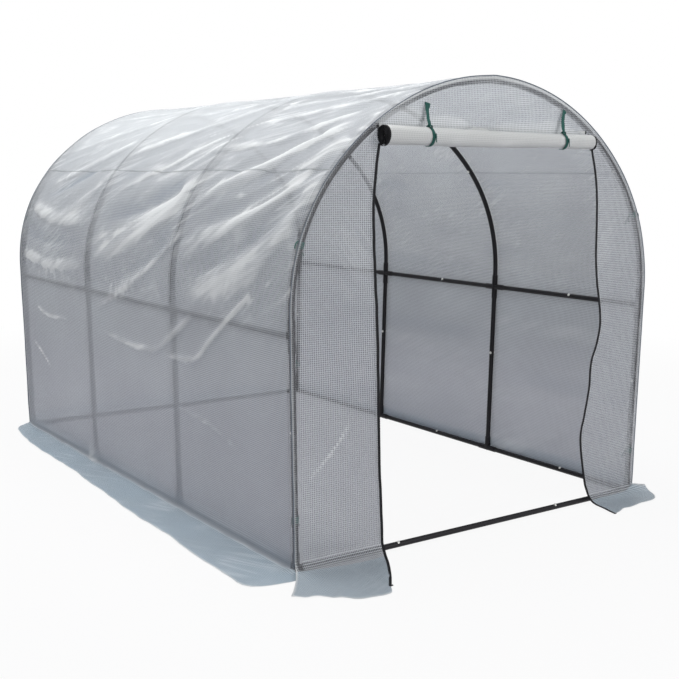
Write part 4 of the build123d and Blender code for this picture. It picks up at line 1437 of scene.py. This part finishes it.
def buildBoltTree():
    tree, start, end = newGeometryTree("boltHeads", {
        "Head Radius": "Float", "Head Height": "Float", "Washer Radius": "Float", "Washer Height": "Float",
        "Seed": "Int", "Material": "Material"})
    washer = addNode(tree, "GeometryNodeMeshCylinder", {
        "Vertices": 20, "Radius": start["Washer Radius"], "Depth": start["Washer Height"]})
    head = addNode(tree, "GeometryNodeMeshCylinder", {
        "Vertices": 6, "Radius": start["Head Radius"], "Depth": start["Head Height"]})
    dome = addNode(tree, "GeometryNodeMeshUVSphere", {
        "Segments": 12, "Rings": 6, "Radius": math2(tree, "MULTIPLY", start["Head Radius"], 0.72)})
    middle = addNode(tree, "ShaderNodeCombineXYZ", {"Z": math2(tree, "MULTIPLY", start["Head Height"], 0.5)})
    top = addNode(tree, "ShaderNodeCombineXYZ", {"Z": start["Head Height"]})
    head = addNode(tree, "GeometryNodeTransform", {
        "Geometry": head.outputs["Mesh"], "Translation": middle.outputs[0]})
    dome = addNode(tree, "GeometryNodeTransform", {
        "Geometry": dome.outputs["Mesh"], "Translation": top.outputs[0], "Scale": (1, 1, 0.35)})
    join = addNode(tree, "GeometryNodeJoinGeometry")
    for part in (washer, head, dome):
        tree.links.new(part.outputs[0], join.inputs[0])
    points = addNode(tree, "GeometryNodeMeshToPoints", {"Mesh": start["Geometry"]})
    facing = addNode(tree, "GeometryNodeInputNamedAttribute", {"Name": "facing"}, data_type="FLOAT_VECTOR")
    align = addNode(tree, "FunctionNodeAlignRotationToVector", {
        "Vector": facing.outputs["Attribute"]}, axis="Z")
    spin = addNode(tree, "FunctionNodeRandomValue", {2: 0.0, 3: 6.28, "Seed": start["Seed"]}, data_type="FLOAT")
    about = addNode(tree, "ShaderNodeCombineXYZ", {"Z": spin.outputs[1]})
    place = addNode(tree, "GeometryNodeInstanceOnPoints", {
        "Points": points.outputs["Points"], "Instance": join.outputs[0], "Rotation": align.outputs[0]})
    turn = addNode(tree, "GeometryNodeRotateInstances", {
        "Instances": place.outputs[0], "Rotation": about.outputs[0]})
    return endTree(tree, start, end, turn.outputs[0])


def boltPlaces():
    lift = boltDetail["lift"]
    slope = math.tan(hoop["lean"])
    spots = []

    def addSpot(center, direction):
        direction = Vector(direction)
        spots.append((Vector(center) + direction * hoop["tubeRadius"], direction))

    for place in hoop["places"]:
        for sideSign in (-1, 1):
            height = boltDetail["legJoint"] + lift
            x = hoop["baseHalf"] + (height - hoop["footHeight"]) * slope
            for inwards in (1, -1):
                addSpot((sideSign * x, place, height), Vector((-sideSign * inwards, -0.25, 0)).normalized())
            angle = hoop["joint"] + lift / hoop["crownRadius"]
            addSpot((sideSign * (hoop["crownX"] + hoop["crownRadius"] * math.cos(angle)), place,
                     hoop["crownZ"] + hoop["crownRadius"] * math.sin(angle)),
                    (-sideSign * math.cos(angle), 0, -math.sin(angle)))
    railX = hoop["baseHalf"] + (hoop["railHeight"] - hoop["footHeight"]) * slope
    for place in hoop["places"][:-1]:
        y = place + boltDetail["railJoint"] + lift
        for sideSign in (-1, 1):
            addSpot((sideSign * railX, y, hoop["railHeight"]), (-sideSign * 0.8, 0, 0.6))
            addSpot((sideSign * hoop["baseHalf"], y, hoop["footHeight"]),
                    Vector((-sideSign * 0.5, 0, 0.86)).normalized())
        addSpot((0, y, hoop["ridgeHeight"]), (0, 0, -1))
    for place in (hoop["places"][0], hoop["places"][-1]):
        for sideSign in (-1, 1):
            addSpot((sideSign * (boltDetail["thresholdJoint"] - lift), place, hoop["footHeight"]),
                    Vector((0, -0.45 if place < 0 else 0.45, 0.89)).normalized())
    return spots


spots = boltPlaces()
boltPoints = pointObject("boltPoints", [spot[0] for spot in spots], facings=[spot[1] for spot in spots])
boltPiece = bakeTree("joint_bolts", boltPoints, buildBoltTree(), boltDetail["head"], boltSteel)
print("stage: bolts", len(spots))


# Hem: a folded seam that stands out along the two end hoops

hemDetail = {
    "width": 0.0048, "thickness": 0.0028, "stand": 0.0012, "wobble": 0.0014, "steps": 260, "clear": 0.02,
}


def makeHem(name, endSign, seed):
    total = footDistance - hemDetail["clear"]
    table = np.linspace(-total, total, hemDetail["steps"])
    x, z, nx, nz = outline(table, coverOffset)
    y = endSign * (hoop["wallPlace"] + 0.0008)
    stand = hemDetail["stand"] + smoothField(table, table * 0, 0.14, seed) * hemDetail["wobble"]
    path = np.stack([x + nx * stand, np.full_like(x, y), z + nz * stand], -1)
    sides = np.stack([nx, np.full_like(nx, endSign * 0.5), nz], -1)
    widths = [hemDetail["width"]] * len(path)
    return sweptStrip(name, path, sides, widths, hemDetail["thickness"], [hemFilm], rings=2)


frontHem = makeHem("front_hem", -1, 611)
rearHem = makeHem("rear_hem", 1, 612)
print("stage: hems")


# Where the front sheets lie over the front hoop's tube, the material lets it show

touchDetail = {"inner": 0.0115, "outer": 0.0165, "samples": 400, "parts": 60}


def markTouch(piece):
    x, z, _, _ = outline(np.linspace(-footDistance, footDistance, touchDetail["samples"]), 0.0)
    line = np.stack([x, z], -1)
    places = np.array([(v.co.x, v.co.z) for v in piece.data.vertices])
    nearest = np.concatenate([np.sqrt(((part[:, None] - line[None]) ** 2).sum(-1)).min(1)
                              for part in np.array_split(places, touchDetail["parts"])])
    spread = touchDetail["outer"] - touchDetail["inner"]
    mask = np.clip((touchDetail["outer"] - nearest) / spread, 0, 1)
    piece.data.attributes.new("touch", "FLOAT", "POINT").data.foreach_set("value", mask.astype(np.float32))


for piece in (leftPanel, rightPanel, gablePiece):
    markTouch(piece)
print("stage: hoop shows through the front")


# Every piece rides on the one body and stands for its solids

pieceTable = [
    (roofPiece, ["cover_roof"], "cover_sheet"),
    (leftPiece, ["cover_left_side", "left_skirt"], "cover_sheet"),
    (rightPiece, ["cover_right_side", "right_skirt"], "cover_sheet"),
    (leftPanel, ["front_left_panel", "front_left_skirt"], "cover_sheet"),
    (rightPanel, ["front_right_panel", "front_right_skirt"], "cover_sheet"),
    (gablePiece, ["front_gable"], "cover_sheet"),
    (rearPiece, ["rear_wall", "rear_skirt"], "cover_sheet"),
    (rollPiece, ["door_roll"], "door_sheet"),
    (rollTiePiece, ["roll_ties"], "tie_cloth"),
    (coverTiePiece, ["cover_ties"], "tie_cloth"),
    (zipPiece, ["zip_tapes"], "zip_tape"),
    (leftStitches, [], "cover_sheet"),
    (rightStitches, [], "cover_sheet"),
    (frontHem, [], "cover_sheet"),
    (rearHem, [], "cover_sheet"),
    (boltPiece, [], "connector_steel"),
]
for piece, nodeNames, slotName in pieceTable:
    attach(piece, "root")
    if nodeNames:
        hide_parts(*nodeNames)


def declareSheet(flat, area):
    # The loose edges can't make the sheet's area larger than its flat size
    area = min(area, flat[0] * flat[1])


declareSheet(roofFlat, roofArea)
declareSheet(leftFlat, leftArea)
declareSheet(rightFlat, rightArea)
declareSheet(leftPanelFlat, leftPanelArea)
declareSheet(rightPanelFlat, rightPanelArea)
declareSheet(gableFlat, gableArea)
declareSheet(rearFlat, rearArea)
declareSheet(rollFlat, rollArea)


# Floor, light and camera

studio = {
    "floorSize": 60.0,
    "floorColor": (0.66, 0.65, 0.68, 1),
    "floorPlain": 0.92,
    "floorFade": (2.6, 6.0),
    "worldColor": (0.90, 0.93, 0.96, 1),
    "worldLevel": 0.34,
    "white": (1, 1, 1, 1),
    "lamps": [
        {"name": "top light", "location": (-1.0, 0.8, 6.2), "target": (0, 0, 0.8), "size": 6.0,
         "energy": 330.0},
        {"name": "fill light", "location": (1.6, -7.6, 3.4), "target": (0, -1.5, 1.0), "size": 4.0,
         "energy": 170.0},
    ],
}


def directView(tree):
    # One for what the camera, mirrors and clear glass see with no film in between
    path = addNode(tree, "ShaderNodeLightPath").outputs
    first = math2(tree, "LESS_THAN", path["Transparent Depth"], 0.5)
    camera = math2(tree, "MULTIPLY", path["Is Camera Ray"], first)
    shiny = math2(tree, "MAXIMUM", path["Is Glossy Ray"], path["Is Transmission Ray"])
    return math2(tree, "MAXIMUM", camera, shiny)


def makeFloor():
    half = studio["floorSize"] / 2
    corners = [(-half, -half, 0), (half, -half, 0), (half, half, 0), (-half, half, 0)]
    mesh = bpy.data.meshes.new("floor")
    mesh.from_pydata(corners, [], [(0, 1, 2, 3)])
    material, tree, shader, output = newMaterial("pale floor")
    setInputs(tree, shader, {
        "Base Color": studio["floorColor"], "Roughness": 1.0, "Specular IOR Level": 0.0})
    # Far out the floor turns into the world's tone, so no horizon shows through the film
    far = addNode(tree, "ShaderNodeEmission", {"Color": studio["worldColor"], "Strength": studio["worldLevel"]})
    plain = addNode(tree, "ShaderNodeEmission", {"Color": studio["white"]})
    place = addNode(tree, "ShaderNodeTexCoord").outputs["Object"]
    length = addNode(tree, "ShaderNodeVectorMath", {0: place}, operation="LENGTH").outputs["Value"]
    fade = mapRange(tree, length, *studio["floorFade"])
    share = mapRange(tree, length, *studio["floorFade"], studio["floorPlain"], 1.0)
    ground = mixShader(tree, fade, shader.outputs[0], far.outputs[0])
    seen = math2(tree, "MULTIPLY", directView(tree), share)
    setInputs(tree, output, {"Surface": mixShader(tree, seen, ground, plain.outputs[0])})
    addObject("floor", mesh, [material])


def makeWorld():
    world = bpy.data.worlds.new("studio")
    scene.world = world
    world.use_nodes = True
    tree = world.node_tree
    light = tree.nodes["Background"]
    setInputs(tree, light, {"Color": studio["worldColor"], "Strength": studio["worldLevel"]})
    white = addNode(tree, "ShaderNodeBackground", {"Color": studio["white"], "Strength": 1.0})
    mixed = mixShader(tree, directView(tree), light.outputs[0], white.outputs[0])
    setInputs(tree, tree.nodes["World Output"], {"Surface": mixed})


def addLamp(values):
    data = bpy.data.lights.new(values["name"], "AREA")
    data.shape = "DISK"
    data.size = values["size"]
    data.energy = values["energy"]
    lamp = bpy.data.objects.new(values["name"], data)
    scene.collection.objects.link(lamp)
    lamp.location = values["location"]
    aim = Vector(values["target"]) - Vector(values["location"])
    lamp.rotation_euler = aim.to_track_quat("-Z", "Y").to_euler()


makeFloor()
makeWorld()
for values in studio["lamps"]:
    addLamp(values)

view = {
    "focalPixels": 1070.4,
    "azimuth": math.radians(-35.06),
    "elevation": math.radians(8.62),
    "roll": math.radians(0.40),
    "location": (-3.199, -4.972, 1.5615),
    "imageWidth": 679,
}


def makeCamera():
    data = bpy.data.cameras.new("photo view")
    camera = bpy.data.objects.new("photo view", data)
    scene.collection.objects.link(camera)
    data.sensor_fit = "HORIZONTAL"
    data.sensor_width = 36.0
    data.lens = view["focalPixels"] / view["imageWidth"] * data.sensor_width
    az, el = view["azimuth"], view["elevation"]
    back = Vector((math.sin(az) * math.cos(el), -math.cos(az) * math.cos(el), math.sin(el)))
    right = (-back).cross(Vector((0, 0, 1))).normalized()
    up = right.cross(-back)
    c, s = math.cos(view["roll"]), math.sin(view["roll"])
    rolledRight = right * c + up * s
    rolledUp = up * c - right * s
    turn = Matrix((rolledRight, rolledUp, back)).transposed().to_4x4()
    turn.translation = Vector(view["location"])
    camera.matrix_world = turn
    scene.camera = camera


makeCamera()
scene.view_settings.view_transform = "Standard"
print("stage: floor, light and camera")
